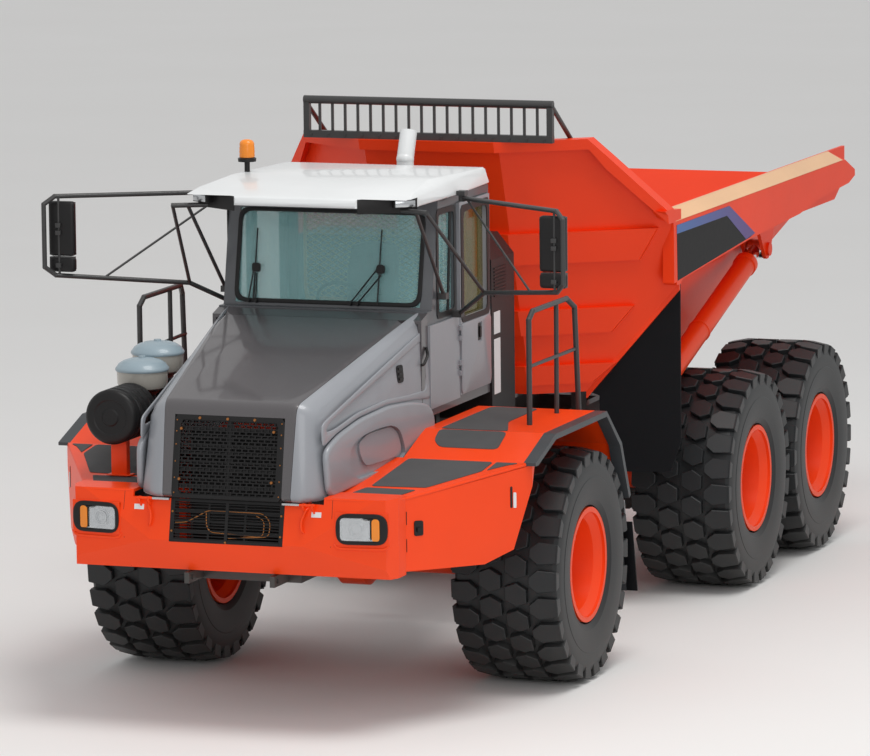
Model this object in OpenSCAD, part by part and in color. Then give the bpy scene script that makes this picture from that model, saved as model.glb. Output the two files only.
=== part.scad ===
/* [Wheels] */
// Outside diameter of a tyre over its lugs
tyre_d = 1870; // [1820:5:1890]
// Width of a tyre
tyre_w = 880; // [820:5:900]
// Diameter of a rim over its flanges
rim_d = 920; // [860:10:960]
// Distance between the centres of a left and a right tyre
track = 3100; // [3060:10:3160]
// Thickness of a rim's wheel disc
disc_t = 40; // [30:2:60]
// Radius of the spindle that carries a hub
spindle_r = 90; // [70:5:100]

/* [Axles] */
// Place of the front axle, behind the middle of the truck
front_axle_y = -2770; // [-2790:5:-2750]
// Place of the middle axle, behind the middle of the truck
mid_axle_y = 1808; // [1795:1:1815]
// Distance from the middle axle to the rear axle
bogie_l = 1954; // [1945:1:1980]
// Radius of an axle's tube
axle_r = 130; // [110:5:140]
// Radius of a differential's housing
diff_r = 250; // [220:5:280]

/* [Hitch] */
// Place of the steering pivot, behind the middle of the truck
hitch_y = -1170; // [-1180:5:-1160]
// Height of the hitch tube's centre line
hitch_z = 1140; // [1130:5:1150]
// Radius of the upright hitch pin
hitch_pin_r = 75; // [60:5:90]
// Radius of the hitch tube on which the rear frame rolls
roll_r = 150; // [140:5:160]
// Running clearance of pins and shafts
fit_gap = 0.5; // [0.3:0.1:1]

/* [Frames] */
// Inner half width of the front frame between its rails
rail_in = 380; // [370:5:390]
// Thickness of a frame rail
rail_t = 90; // [70:5:100]
// Height of the underside of the rails
rail_z = 1130; // [1120:5:1140]
// Height of the top of the front rails
rail_top = 1400; // [1390:5:1410]
// Radius of the holes in the front tow tabs
tow_r = 22; // [18:1:26]
// Radius of the hole for the rear tow pin
tow_pin_r = 30; // [25:1:35]

/* [Hood] */
// Half width of the dark part of the hood at its front
hood_half = 610; // [590:5:630]
// Half width of the grille's opening
grille_half = 450; // [430:5:470]
// Wall of the hood's panels
hood_wall = 25; // [20:1:35]
// Height of the hood's top edge at the windscreen
hood_back_z = 2987; // [2960:5:3000]
// Height of the hood's top edge at the front
hood_nose_z = 2537; // [2500:5:2560]

/* [Cab] */
// Half width of the cab
cab_half = 880; // [870:5:890]
// Wall of the cab's posts and panels
cab_wall = 60; // [40:5:70]
// Height of the cab's top under the roof
cab_top = 3870; // [3850:5:3880]
// Height of the cab's floor
cab_floor = 2200; // [2190:5:2210]
// Thickness of the windows
glass_t = 8; // [6:1:12]

/* [Bin] */
// Half width of the bin over its rails
bin_half = 1750; // [1720:5:1760]
// Half width of the bin's floor
floor_half = 900; // [880:5:920]
// Height of the underside of the bin's floor
bin_z = 1950; // [1940:5:1960]
// Thickness of the bin's plates
bin_t = 30; // [20:2:40]
// Height of the rails along the bin's sides
bin_rail_z = 3430; // [3400:5:3450]
// Height of the headboard's flange
headboard_z = 4100; // [4080:5:4120]
// Height of the rack on the headboard
rack_h = 350; // [330:5:360]
// Number of bars in the rack
rack_bars = 19; // [15:1:23]

/* [Hoist] */
// Distance of a hoist cylinder from the middle of the truck
hoist_x = 1380; // [1375:1:1385]
// Radius of a hoist cylinder's barrel
hoist_r = 95; // [85:1:97]
// Radius of a hoist cylinder's rod
hoist_rod_r = 60; // [50:1:65]

/* [Hidden] */
$fn = 48;
ORANGE = [0.86, 0.25, 0.05];
BIN_ORANGE = [0.80, 0.16, 0.04];
CHARCOAL = [0.16, 0.17, 0.18];
BLACK = [0.05, 0.05, 0.05];
DARK_GREY = [0.33, 0.32, 0.34];
LIGHT_GREY = [0.55, 0.57, 0.60];
STEEL = [0.7, 0.7, 0.7];
seam = 0.3;

wheel_z = tyre_d / 2;
wheel_x = track / 2;
rear_axle_y = mid_axle_y + bogie_l;
bogie_y = mid_axle_y + bogie_l / 2;
hub_in = wheel_x - 150;
rail_out = rail_in + rail_t;
nose_y = -5630;
tail_y = 5630;

// Half turn of each piece on both sides of the truck
module both() { children(); mirror([1, 0, 0]) children(); }

// Box between two corners
module box(lo, hi) { translate(lo) cube(hi - lo); }

// Round bar along X, Y or Z
module bar_x(x0, x1, y, z, r) { translate([x0, y, z]) rotate([0, 90, 0]) cylinder(h = x1 - x0, r = r); }
module bar_y(y0, y1, x, z, r) { translate([x, y0, z]) rotate([-90, 0, 0]) cylinder(h = y1 - y0, r = r); }
module bar_z(z0, z1, x, y, r) { translate([x, y, z0]) cylinder(h = z1 - z0, r = r); }

// Flat outlines given as side view (y, z), front view (x, z) or plan (x, y), made solid
module side_plate(x0, x1) { translate([x0, 0, 0]) rotate([90, 0, 90]) linear_extrude(x1 - x0) children(); }
module front_plate(y0, y1) { translate([0, y1, 0]) rotate([90, 0, 0]) linear_extrude(y1 - y0) children(); }
module plan_plate(z0, z1) { translate([0, 0, z0]) linear_extrude(z1 - z0) children(); }

// Round bar between two points, and a bent tube through a list of points
module rod(a, b, r) {
    d = b - a;
    l = norm(d);
    translate(a) rotate([0, acos(d[2] / l), atan2(d[1], d[0])]) cylinder(h = l, r = r);
}
module bent_tube(path, r) {
    for (i = [0 : len(path) - 2]) rod(path[i], path[i + 1], r);
    for (i = [1 : len(path) - 2]) translate(path[i]) sphere(r = r * 1.04);
}

// Faceted solid around a list of corners
module corners(pts) { hull() for (p = pts) translate(p) cube(1, center = true); }

function mirrored(pts) = concat(pts, [for (p = pts) [-p[0], p[1], p[2]]]);

// Wheels
tyre_r = tyre_d / 2;
rim_r = rim_d / 2;
bead_x = tyre_w / 2 - 60;
cleat_rows = 26;
cleat_w = 150;
cleat_h = 38;
cleat_in = 95;
block_w = 120;
cleat_top = sqrt(tyre_r * tyre_r - cleat_w * cleat_w / 4);
// Shoulder cleat seen along the tread: half width across the tyre, height over the wheel's centre
function cleat_section() = [[cleat_in, cleat_top - cleat_h - 30], [cleat_in, cleat_top], [tyre_w / 2 - 110, cleat_top],
    [tyre_w / 2 - 35, cleat_top - 32], [tyre_w / 2 - 8, tyre_r - 160], [tyre_w / 2 - 70, tyre_r - 170]];
module tyre_shape() {
    rotate([0, 90, 0]) rotate_extrude($fn = 96) polygon([
        [rim_r + 1, -bead_x], [rim_r + 90, -tyre_w / 2 + 22], [rim_r + 230, -tyre_w / 2],
        [tyre_r - 150, -tyre_w / 2 + 6], [tyre_r - cleat_h - 25, -tyre_w / 2 + 50],
        [tyre_r - cleat_h, -tyre_w / 2 + 120], [tyre_r - cleat_h, tyre_w / 2 - 120],
        [tyre_r - cleat_h - 25, tyre_w / 2 - 50], [tyre_r - 150, tyre_w / 2 - 6],
        [rim_r + 230, tyre_w / 2], [rim_r + 90, tyre_w / 2 - 22], [rim_r + 1, bead_x],
        [rim_r - 60 + 1, bead_x - 60], [rim_r - 60 + 1, -bead_x + 60]]);
    // Cleats over both shoulders, half a step apart, with a block between each pair
    step = 360 / cleat_rows;
    lead = asin(cleat_w / 2 / tyre_r);
    for (i = [0 : cleat_rows - 1]) {
        rotate([i * step + lead, 0, 0]) mirror([1, 0, 0]) cleat();
        rotate([(i + 0.5) * step + lead, 0, 0]) cleat();
        rotate([(i + 0.25) * step + lead, 0, 0]) translate([0, 0, tyre_r - cleat_h - 30])
            linear_extrude(cleat_h + 30 - block_w * block_w / 8 / tyre_r)
                polygon([[-75, -20], [0, -block_w / 2], [75, -20], [75, 20], [0, block_w / 2], [-75, 20]]);
    }
}
module cleat() {
    translate([0, cleat_w / 2, 0]) rotate([90, 0, 0]) linear_extrude(cleat_w) polygon(cleat_section());
}

// Rim with its outer face towards +X
dish_x = 90;
module rim_shape() {
    rotate([0, 90, 0]) rotate_extrude($fn = 96) polygon([
        [spindle_r + fit_gap, -150], [260, -150], [260, dish_x - disc_t], [rim_r - 90, dish_x - disc_t],
        [rim_r - 90, -bead_x + 60], [rim_r - 40, -bead_x], [rim_r - 40, -bead_x - 25], [rim_r, -bead_x - 25],
        [rim_r, -bead_x - 1], [rim_r - 60, -bead_x + 60 - 1],
        [rim_r - 60, bead_x - 60 + 1], [rim_r, bead_x + 1],
        [rim_r, bead_x + 25], [rim_r - 40, bead_x + 25], [rim_r - 40, bead_x], [rim_r - 90, bead_x - 60],
        [rim_r - 130, dish_x], [240, dish_x], [230, dish_x + 70], [190, dish_x + 110],
        [0, dish_x + 120], [0, dish_x + 40], [spindle_r + fit_gap, dish_x + 40]]);
}
module wheel_at(side, y) { translate([side * wheel_x, y, wheel_z]) rotate([0, 0, side > 0 ? 0 : 180]) children(); }
module tyre(side, y) { color(BLACK) wheel_at(side, y) tyre_shape(); }
module rim(side, y) { color(ORANGE) wheel_at(side, y) rim_shape(); }
module tyre_fl() { tyre(1, front_axle_y); }
module tyre_fr() { tyre(-1, front_axle_y); }
module tyre_ml() { tyre(1, mid_axle_y); }
module tyre_mr() { tyre(-1, mid_axle_y); }
module tyre_rl() { tyre(1, rear_axle_y); }
module tyre_rr() { tyre(-1, rear_axle_y); }
module rim_fl() { rim(1, front_axle_y); }
module rim_fr() { rim(-1, front_axle_y); }
module rim_ml() { rim(1, mid_axle_y); }
module rim_mr() { rim(-1, mid_axle_y); }
module rim_rl() { rim(1, rear_axle_y); }
module rim_rr() { rim(-1, rear_axle_y); }

// Axles: tube, differential and the spindles in the hubs
brake_x = hub_in - 130;
module axle_shape(y) {
    translate([0, y, wheel_z]) {
        rotate([0, 90, 0]) cylinder(h = 2 * (hub_in - 10), r = axle_r, center = true);
        rotate([0, 90, 0]) cylinder(h = 2 * (wheel_x + dish_x + 30), r = spindle_r, center = true);
        rotate([0, 90, 0]) rotate_extrude() polygon([[0, -210], [axle_r + 20, -210], [diff_r, -110],
            [diff_r, 110], [axle_r + 20, 210], [0, 210]]);
        both() translate([brake_x, 0, 0]) rotate([0, 90, 0]) cylinder(h = 120, r = axle_r + 80);
        rotate([90, 0, 0]) cylinder(h = diff_r + 100, r = 90);
    }
}
module front_axle() { color(ORANGE) axle_shape(front_axle_y); }
module mid_axle() { color(ORANGE) axle_shape(mid_axle_y); }
module rear_axle() { color(ORANGE) axle_shape(rear_axle_y); }

// Front frame: rails, crossbeams, towers over the axle and the ears of the hitch
deep_y0 = -2350;
deep_y1 = -1750;
deep_top = 1450;
deep_bot = 870;
frame_front = -5250;
ear_t = 100;
yoke_h = 380;
tow_x = 350;
tow_y = -5500;
tow_t = 40;
ear_lo = hitch_z - yoke_h / 2;
ear_hi = hitch_z + yoke_h / 2;
strut_x = 640;
strut_r = 70;
strut_top = 1640;
steer_base = [550, -2150, hitch_z];
steer_eye = [450, -750, hitch_z];
steer_lug_t = 25;
steer_lug_gap = 55;
steer_barrel_r = 58;
steer_pin_r = 30;
module hitch_ear() {
    plan_plate(0, ear_t) difference() {
        union() {
            translate([0, hitch_y]) circle(r = 220);
            polygon([[-rail_out, deep_y1], [-220, hitch_y], [220, hitch_y], [rail_out, deep_y1]]);
        }
    }
}
module front_frame() {
    color(CHARCOAL) {
        both() {
            box([rail_in, frame_front, rail_z], [rail_out, deep_y0 - 250, rail_top]);
            box([rail_in, front_axle_y - 150, rail_top - 60], [rail_out, front_axle_y + 150, strut_top + 60]);
            box([rail_in, front_axle_y - 110, strut_top], [strut_x + strut_r + 20, front_axle_y + 110, strut_top + 60]);
        }
        box([-rail_in, frame_front, rail_z], [rail_in, frame_front + 90, rail_top]);
        box([-rail_in, -3620, rail_z], [rail_in, -3500, rail_top - 100]);
    }
}

// Tow tabs under the bumper, on the front crossbeam
module tow_tabs() {
    color(CHARCOAL) both() difference() {
        side_plate(tow_x - tow_t / 2, tow_x + tow_t / 2) polygon([[tow_y - 60, rail_z + 10],
            [tow_y - 60, bump_low - 12], [frame_front, bump_low - 12], [frame_front, rail_z + 10]]);
        bar_x(tow_x - tow_t, tow_x + tow_t, tow_y, rail_z + 52, tow_r);
    }
}

// Deep rear end of the front frame, with the ears and the pin of the hitch
module hitch_frame() {
    color(CHARCOAL) {
        both() {
            difference() {
                side_plate(rail_in, rail_out) polygon([[deep_y0 - 250, rail_z], [deep_y0, deep_bot],
                    [deep_y1, deep_bot], [deep_y1, deep_top], [deep_y0, deep_top], [deep_y0 - 250, rail_top]]);
                // Notch for the swing of the steering cylinder
                box([rail_in - 1, steer_base[1] + 70, hitch_z - steer_barrel_r - 8],
                    [rail_out + 1, deep_y1 + 1, hitch_z + steer_barrel_r + 8]);
            }
            for (s = [-1, 1])
                translate([0, 0, hitch_z + s * (steer_lug_gap + steer_lug_t / 2) - steer_lug_t / 2])
                    linear_extrude(steer_lug_t) {
                        translate([steer_base[0], steer_base[1]]) circle(r = 70);
                        translate([rail_out - 20, steer_base[1] - 90]) square([steer_base[0] - rail_out + 20, 180]);
                    }
        }
        both() bar_z(hitch_z - 95, hitch_z + 95, steer_base[0], steer_base[1], steer_pin_r);
        box([-rail_in, deep_y1 - 80, deep_bot], [rail_in, deep_y1, deep_top]);
        translate([0, 0, ear_hi]) hitch_ear();
        translate([0, 0, ear_lo - ear_t]) hitch_ear();
        bar_z(ear_lo - ear_t - 40, ear_hi + ear_t + 40, 0, hitch_y, hitch_pin_r);
    }
}

// Platform under the cab on its posts
module cab_platform() {
    color(CHARCOAL) {
        box([-base_half, cab_front + 100, cab_floor - 80], [base_half, cab_back - 60, cab_floor - 20 - seam]);
        both() for (y = [cab_front + 150, cab_back - 150])
            box([rail_in, y, y < deep_y0 ? rail_top : deep_top], [rail_out, y + 80, cab_floor - 70]);
    }
}

// Suspension struts between the axle and the towers
module front_struts() {
    color(STEEL) both() {
        difference() {
            bar_z(wheel_z, 1400, strut_x, front_axle_y, strut_r);
            bar_x(0, hub_in, front_axle_y, wheel_z, axle_r + 0.3);
        }
        bar_z(1400, strut_top, strut_x, front_axle_y, strut_r - 25);
    }
}

// Engine on its feet and the radiator
module engine_block() {
    color(CHARCOAL) {
        box([-rail_in + 40, -4950, 1100], [rail_in - 40, -3800, 2050]);
        for (y = [-4800, -4000]) box([-rail_out, y, rail_top], [rail_out, y + 80, rail_top + 50]);
    }
}
module radiator() {
    color(BLACK) {
        box([-rail_in - 30, frame_front + 5, rail_top], [rail_in + 30, -5200, rail_top + 80]);
        box([-rail_in + 10, -5370, rail_top], [rail_in - 10, -5200, 2300]);
    }
}

// Bumper: a side section crossed with a plan, hollow behind
bump_top = 1850;
bump_low = 1237;
bump_half = 1324;
module bumper_form(t) {
    intersection() {
        side_plate(-bump_half + t, bump_half - t) polygon([[frame_front, bump_top - t], [-5550 + t, bump_top - t],
            [nose_y + t, 1480], [nose_y + 130 + t, bump_low + t], [frame_front, bump_low + t]]);
        plan_plate(1200, 1900) polygon([[-bump_half + t, frame_front], [-bump_half + t, -5413 + t],
            [-1270, -5540 + t], [-620, nose_y + t], [620, nose_y + t],
            [1270, -5540 + t], [bump_half - t, -5413 + t], [bump_half - t, frame_front]]);
    }
}
lamp_x = 1083;
lamp_w = 400;
lamp_z = 1625;
lamp_h = 240;
notch_low = 1470;
hood_seam_z = 1800;
module bumper() {
    color(ORANGE) difference() {
        bumper_form(0);
        translate([0, 1, 0]) bumper_form(22);
        box([-grille_half - 15, nose_y - 50, notch_low], [grille_half + 15, frame_front + 1, bump_top + 10]);
        box([-780, nose_y - 50, hood_seam_z - 5], [780, frame_front + 1, bump_top + 10]);
        both() box([lamp_x - lamp_w / 2, nose_y - 50, lamp_z - lamp_h / 2],
            [lamp_x + lamp_w / 2, -5400, lamp_z + lamp_h / 2]);
    }
    // Ears and pins of the hood's hinge
    color(ORANGE) both() for (x = [625, 700])
        side_plate(x, x + 15) polygon([[-5540, 1680], [-5625, hood_hinge[1] - 12], [-5625, hood_hinge[1] + 12],
            [-5600, hood_hinge[1] + 12], [-5540, 1794]]);
    color(STEEL) both() bar_x(565, 725, hood_hinge[0], hood_hinge[1], hood_pin_r);
}
bowl_r = 88;
bowl_floor = -5478;
bulb_r = 35;
module head_lamps() {
    color(CHARCOAL) both() {
        difference() {
            intersection() {
                bumper_form(4);
                box([lamp_x - lamp_w / 2 + seam, nose_y, lamp_z - lamp_h / 2 + seam],
                    [lamp_x + lamp_w / 2 - seam, -5440, lamp_z + lamp_h / 2 - seam]);
            }
            // Two bowls side by side
            for (s = [-1, 1]) bar_y(nose_y - 10, bowl_floor, lamp_x + s * lamp_w / 4, lamp_z, bowl_r);
        }
        for (s = [-1, 1]) bar_y(bowl_floor - 25, bowl_floor + 5, lamp_x + s * lamp_w / 4, lamp_z, bulb_r);
    }
}
lower_rows = 4;
module lower_grille() {
    pitch = (hood_seam_z - 6 - notch_low - 20) / lower_rows;
    color(BLACK) difference() {
        intersection() {
            bumper_form(6);
            box([-grille_half - 15 + seam, nose_y, notch_low + seam],
                [grille_half + 15 - seam, nose_y + 70, hood_seam_z - 6]);
        }
        // Slots between the bars
        for (i = [0 : lower_rows - 1]) for (x = [-grille_half + 10, -grille_half / 3 + 8, grille_half / 3 + 8])
            box([x, nose_y - 50, notch_low + 20 + i * pitch], [x + grille_half * 2 / 3 - 18, nose_y + 90,
                notch_low + i * pitch + pitch]);
    }
}

// Decks and fenders
side_end_y = -4050;
deck_end_y = -4170;
fender_half = 1900;
lip_half = 2000;
deck_t = 25;
deck_z0 = 1830;
deck_z1 = 1960;
inner_x = 940;
arch_top = 2120;
function arch_path() = [[deck_end_y, deck_z1], [-3680, arch_top], [-2420, arch_top], [-2040, 1810], [-1820, 1350]];
module arch_band(t) {
    p = arch_path();
    n = len(p) - 1;
    polygon(concat([for (i = [0 : n]) p[i]],
        [for (i = [n : -1 : 0]) [p[i][0] - (i >= 3 ? t : 0), p[i][1] - (i < 3 ? t : t * 0.4)]]));
}
module decks() {
    color(ORANGE) both() {
        intersection() {
            plan_plate(1700, 2100) polygon([[rail_in, frame_front], [bump_half, frame_front],
                [fender_half + 50, side_end_y - 60], [fender_half + 50, deck_end_y], [rail_in, deck_end_y]]);
            side_plate(0, 2000) polygon([[frame_front, deck_z0], [deck_end_y, deck_z1],
                [deck_end_y, deck_z1 - deck_t], [frame_front, deck_z0 - deck_t]]);
        }
        intersection() {
            plan_plate(1100, 2100) polygon([[bump_half, frame_front], [fender_half + 50, side_end_y - 60],
                [fender_half + 50, side_end_y], [fender_half + 28, side_end_y],
                [fender_half + 28, side_end_y - 55], [bump_half - 24, frame_front]]);
            side_plate(0, 2000) polygon([[frame_front, deck_z0 - deck_t], [side_end_y - 60, deck_z1 - deck_t],
                [side_end_y, deck_z1 - deck_t], [-4285, 1300], [-4550, 1220], [frame_front, 1260]]);
        }
        box([rail_out, frame_front, rail_top - 100], [rail_out + 60, frame_front + 80, deck_z0 - deck_t]);
    }
}
module fenders() {
    color(ORANGE) both() {
        side_plate(inner_x, fender_half) arch_band(deck_t);
        side_plate(inner_x - deck_t, inner_x) polygon([[deck_end_y, deck_z1], [-3680, arch_top], [-2420, arch_top],
            [-2040, 1810], [-1820, 1450], [-2100, 1450], [-2350, 1700], [-3300, 1700], [deck_end_y, 1700]]);
        box([rail_out, front_axle_y - 700, 1700], [inner_x - deck_t, front_axle_y - 640, 1900]);
        box([rail_out, front_axle_y - 700, rail_top - 80], [rail_out + 60, front_axle_y - 640, 1700]);
        box([rail_out, deep_y0 + 60, deep_top - 60], [inner_x - deck_t, deep_y0 + 120, deep_top]);
        box([inner_x - deck_t - 60, deep_y0 + 60, deep_top], [inner_x - deck_t, deep_y0 + 120, 1700]);
    }
}
module fender_lips() {
    color(BLACK) both() {
        difference() {
            side_plate(fender_half, lip_half) arch_band(45);
            box([fender_half - 1, deck_end_y - 1, deck_z0], [lip_half + 1, side_end_y, deck_z1 - deck_t + seam]);
        }
        side_plate(1150, fender_half) polygon([[-1850, 1350 + 30 * 46 / 22], [-1820, 1350], [-1640, 530], [-1620, 530],
            [-1798, 1354], [-1828, 1350 + 30 * 46 / 22 + 8]]);
    }
}

// Cab: shell with its window cuts, skins, roof, glass and cowl
cab_front = -3500;
cab_back = -2040;
screen_low = [-3400, 3010];
base_half = 600;
door_y0 = -2800;
door_y1 = -2085;
door_z0 = 2260;
door_z1 = 3800;
door_t = 50;
skin_t = 20;
sill_z = 2870;
function cab_outline() = [[cab_front, cab_floor - 20], [cab_back, cab_floor - 20], [cab_back, cab_top],
    [-3230, cab_top], screen_low, [cab_front, screen_low[1]]];
module cab_shell() {
    color(CHARCOAL) difference() {
        side_plate(-cab_half, cab_half) polygon(cab_outline());
        side_plate(-cab_half + cab_wall, cab_half - cab_wall) polygon([[cab_front + 60, cab_floor + 40],
            [cab_back - 60, cab_floor + 40], [cab_back - 60, cab_top - 60], [-3190, cab_top - 60],
            [screen_low[0] + 60, screen_low[1] - 20], [cab_front + 60, screen_low[1] - 60]]);
        // Windscreen
        box([-cab_half + 100, cab_front - 10, screen_low[1] + 20], [cab_half - 100, -3100, cab_top - 100]);
        // Doorway and the quarter window ahead of it
        box([cab_half - cab_wall - 1, door_y0 - 5, door_z0 - 5], [cab_half + 1, door_y1 + 5, door_z1 + 5]);
        box([cab_half - cab_wall - 1, -3240, sill_z + 100], [cab_half + 1, door_y0 - 80, cab_top - 120]);
        // Right windows
        box([-cab_half - 1, -3240, sill_z + 100], [-cab_half + cab_wall + 1, door_y0 - 80, cab_top - 120]);
        box([-cab_half - 1, door_y0, sill_z], [-cab_half + cab_wall + 1, cab_back - 110, cab_top - 120]);
        // Rear window
        box([-cab_half + 120, cab_back - 61, sill_z], [cab_half - 120, cab_back + 1, cab_top - 120]);
    }
}
door_axis = [918, door_y0 - 3];
door_hinge_z = [2420, 2700];
module hinge_leaf(z, x0, side) {
    bar_z(z, z + 40, door_axis[0], door_axis[1], 12);
    box([x0, side < 0 ? door_axis[1] - 35 : door_axis[1], z], [door_axis[0], side < 0 ? door_axis[1] : door_axis[1] + 35, z + 40]);
}
module cab_panels() {
    color(LIGHT_GREY) {
        box([cab_half, cab_front + 5, door_z0 - 20], [cab_half + skin_t, door_y0 - 6, sill_z + 30]);
        box([-cab_half - skin_t, cab_front + 5, door_z0 - 20], [-cab_half, cab_back - 20, sill_z - 20]);
        // Halves of the door's hinges, with their pins
        for (z = door_hinge_z) {
            for (k = [0, 82]) hinge_leaf(z + k, cab_half + skin_t, -1);
            bar_z(z, z + 122, door_axis[0], door_axis[1], 7);
        }
    }
}
module cab_roof() {
    color("white") difference() {
        corners(concat(mirrored([[930, -4070, 3880], [930, -4060, 3950], [900, -3850, 3990], [830, -3300, 4040],
            [860, -2050, 4010], [900, -2050, 3880 ], [930, -2900, cab_top + 1]]), [[0, -4090, 3900]]));
        box([-1000, -5000, 3600], [1000, -1000, cab_top + seam]);
        both() box([560, -4200, 3800], [1000, -3860, 3945]);
    }
    color(CHARCOAL) bar_z(4000, beacon_z, beacon_at[0], beacon_at[1], 22);
}
beacon_at = [-800, -3050];
beacon_z = 4110;
module cab_glass() {
    color([0.4, 0.6, 0.6, 0.4]) {
        side_plate(-cab_half + 100 + seam, cab_half - 100 - seam) polygon([[screen_low[0] + 4, screen_low[1] + 20 + seam],
            [screen_low[0] + 4 + glass_t, screen_low[1] + 20 + seam], [-3240 + glass_t, cab_top - 100 - seam],
            [-3240, cab_top - 100 - seam]]);
        for (x = [-cab_half + 26, cab_half - 26 - glass_t])
            box([x, -3239.7, sill_z + 100 + seam], [x + glass_t, door_y0 - 80 - seam, cab_top - 120 - seam]);
        box([-cab_half + 26, door_y0 + seam, sill_z + seam],
            [-cab_half + 26 + glass_t, cab_back - 110 - seam, cab_top - 120 - seam]);
        box([-cab_half + 120 + seam, cab_back - 30, sill_z + seam],
            [cab_half - 120 - seam, cab_back - 30 + glass_t, cab_top - 120 - seam]);
    }
}
module cowl() {
    color(DARK_GREY) difference() {
        side_plate(-cab_half, cab_half) polygon([[-3640, 2250], [cab_front - seam, 2250], [cab_front - seam, 3000],
            [-3640, 2960]]);
        side_plate(-cab_half + 30, cab_half - 30) polygon([[-3700, 2200], [cab_front, 2200],
            [cab_front, 2960], [-3700, 2920]]);
    }
}
module seat() {
    color(CHARCOAL) {
        box([-230, -2950, 2640], [230, -2480, 2760]);
        translate([0, -2480, 2640]) rotate([-10, 0, 0]) box([-220, 0, 0], [220, 120, 780]);
        box([-160, -2860, cab_floor + 40 + seam], [160, -2560, 2640]);
    }
}
module dash() {
    color(CHARCOAL) {
        box([-600, cab_front + 60 + seam, 2700], [600, -3330, 2880]);
        box([-80, cab_front + 60 + seam, cab_floor + 40 + seam], [80, -3300, 2700]);
        rod([0, -3350, 2840], [0, -3075, 3000], 25);
        translate([0, -3070, 3005]) rotate([-60, 0, 0]) rotate_extrude($fn = 48) translate([200, 0]) circle(r = 16, $fn = 16);
        translate([0, -3070, 3005]) rotate([-60, 0, 0]) cube([400, 30, 18], center = true);
    }
}

// Door with its window cut, and its glass
door_x0 = cab_half - door_t;
door_x1 = cab_half + skin_t + 5;
module cab_door() {
    color(LIGHT_GREY) difference() {
        union() {
            box([door_x0, door_y0, door_z0], [door_x1, door_y1, door_z1]);
            for (z = door_hinge_z) hinge_leaf(z + 41, door_x1, 1);
        }
        bar_z(door_z0, sill_z, door_axis[0], door_axis[1], 7 + fit_gap);
        box([door_x0 - 1, door_y0 + 70, sill_z], [door_x1 + 1, door_y1 - 70, door_z1 - 70]);
        box([door_x0 - 1, door_y0 + 40, door_z0 + 40], [door_x1 - 20, door_y1 - 40, sill_z - 40]);
    }
}
module door_glass() {
    color([0.5, 0.45, 0.2, 0.4])
        box([cab_half - 20, door_y0 + 70 + seam, sill_z + seam],
            [cab_half - 20 + glass_t, door_y1 - 70 - seam, door_z1 - 70 - seam]);
}

// Hood: one faceted shell, split into its dark top and its light sides
function hood_pts(t) = mirrored([
    [hood_half - t, nose_y + 24 + t, hood_seam_z + 5], [hood_half - 50 - t, -5475 + t, hood_nose_z - t],
    [750 - t, -5480 + t, hood_seam_z + 60], [700 - t, -5390 + t, 2440 - t],
    [780 - t, -3690, hood_back_z - t], [850 - t, -3690, 2870 - t], [880 - t, -3690, 2010]]);
hood_hinge = [-5612, 1797];
hood_pin_r = 9;
module hood_shell() {
    difference() {
        corners(hood_pts(0));
        intersection() {
            corners(hood_pts(hood_wall));
            box([-1000, -5600, 1700], [1000, -3600, 3000]);
        }
        side_plate(-1000, 1000) polygon([[-5700, 1700], [-5620 + 40, hood_seam_z + 4], [-5300, 1890],
            [-3690 + 10, 2030], [-3600, 1700]]);
        box([-1000, -3740, 1700], [1000, -3689.5, 2900]);
    }
}
module hood_dark_plan() {
    plan_plate(1700, 3100) polygon([[-hood_half, nose_y - 20], [hood_half, nose_y - 20], [780, -3600], [-780, -3600]]);
}
grille_top = 2436;
module hood_opening() {
    box([-grille_half, nose_y - 50, hood_seam_z - 10], [grille_half, -5380, grille_top]);
}
module hood_top() {
    color(DARK_GREY) difference() {
        union() {
            intersection() { hood_shell(); hood_dark_plan(); }
            both() bar_x(570, 605, hood_hinge[0], hood_hinge[1], hood_pin_r + 7);
        }
        hood_opening();
        bar_x(-700, 700, hood_hinge[0], hood_hinge[1], hood_pin_r + fit_gap);
    }
}
module hood_sides() {
    color(LIGHT_GREY) {
        difference() { hood_shell(); hood_dark_plan(); }
    }
}
grille_rows = 9;
grille_low = 1845;
module hood_grille() {
    pitch = (grille_top - 30 - grille_low) / grille_rows;
    color(BLACK) difference() {
        side_plate(-grille_half + seam, grille_half - seam) polygon([[nose_y + 38, hood_seam_z + 6],
            [nose_y + 62, hood_seam_z + 6], [-5455, grille_top - seam], [-5479, grille_top - seam]]);
        // Slots between the slats, left and right of the middle bar
        both() for (i = [0 : grille_rows - 1])
            box([20, nose_y - 50, grille_low + i * pitch], [grille_half - 35, -5400, grille_low + (i + 1) * pitch - 18]);
    }
}

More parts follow.
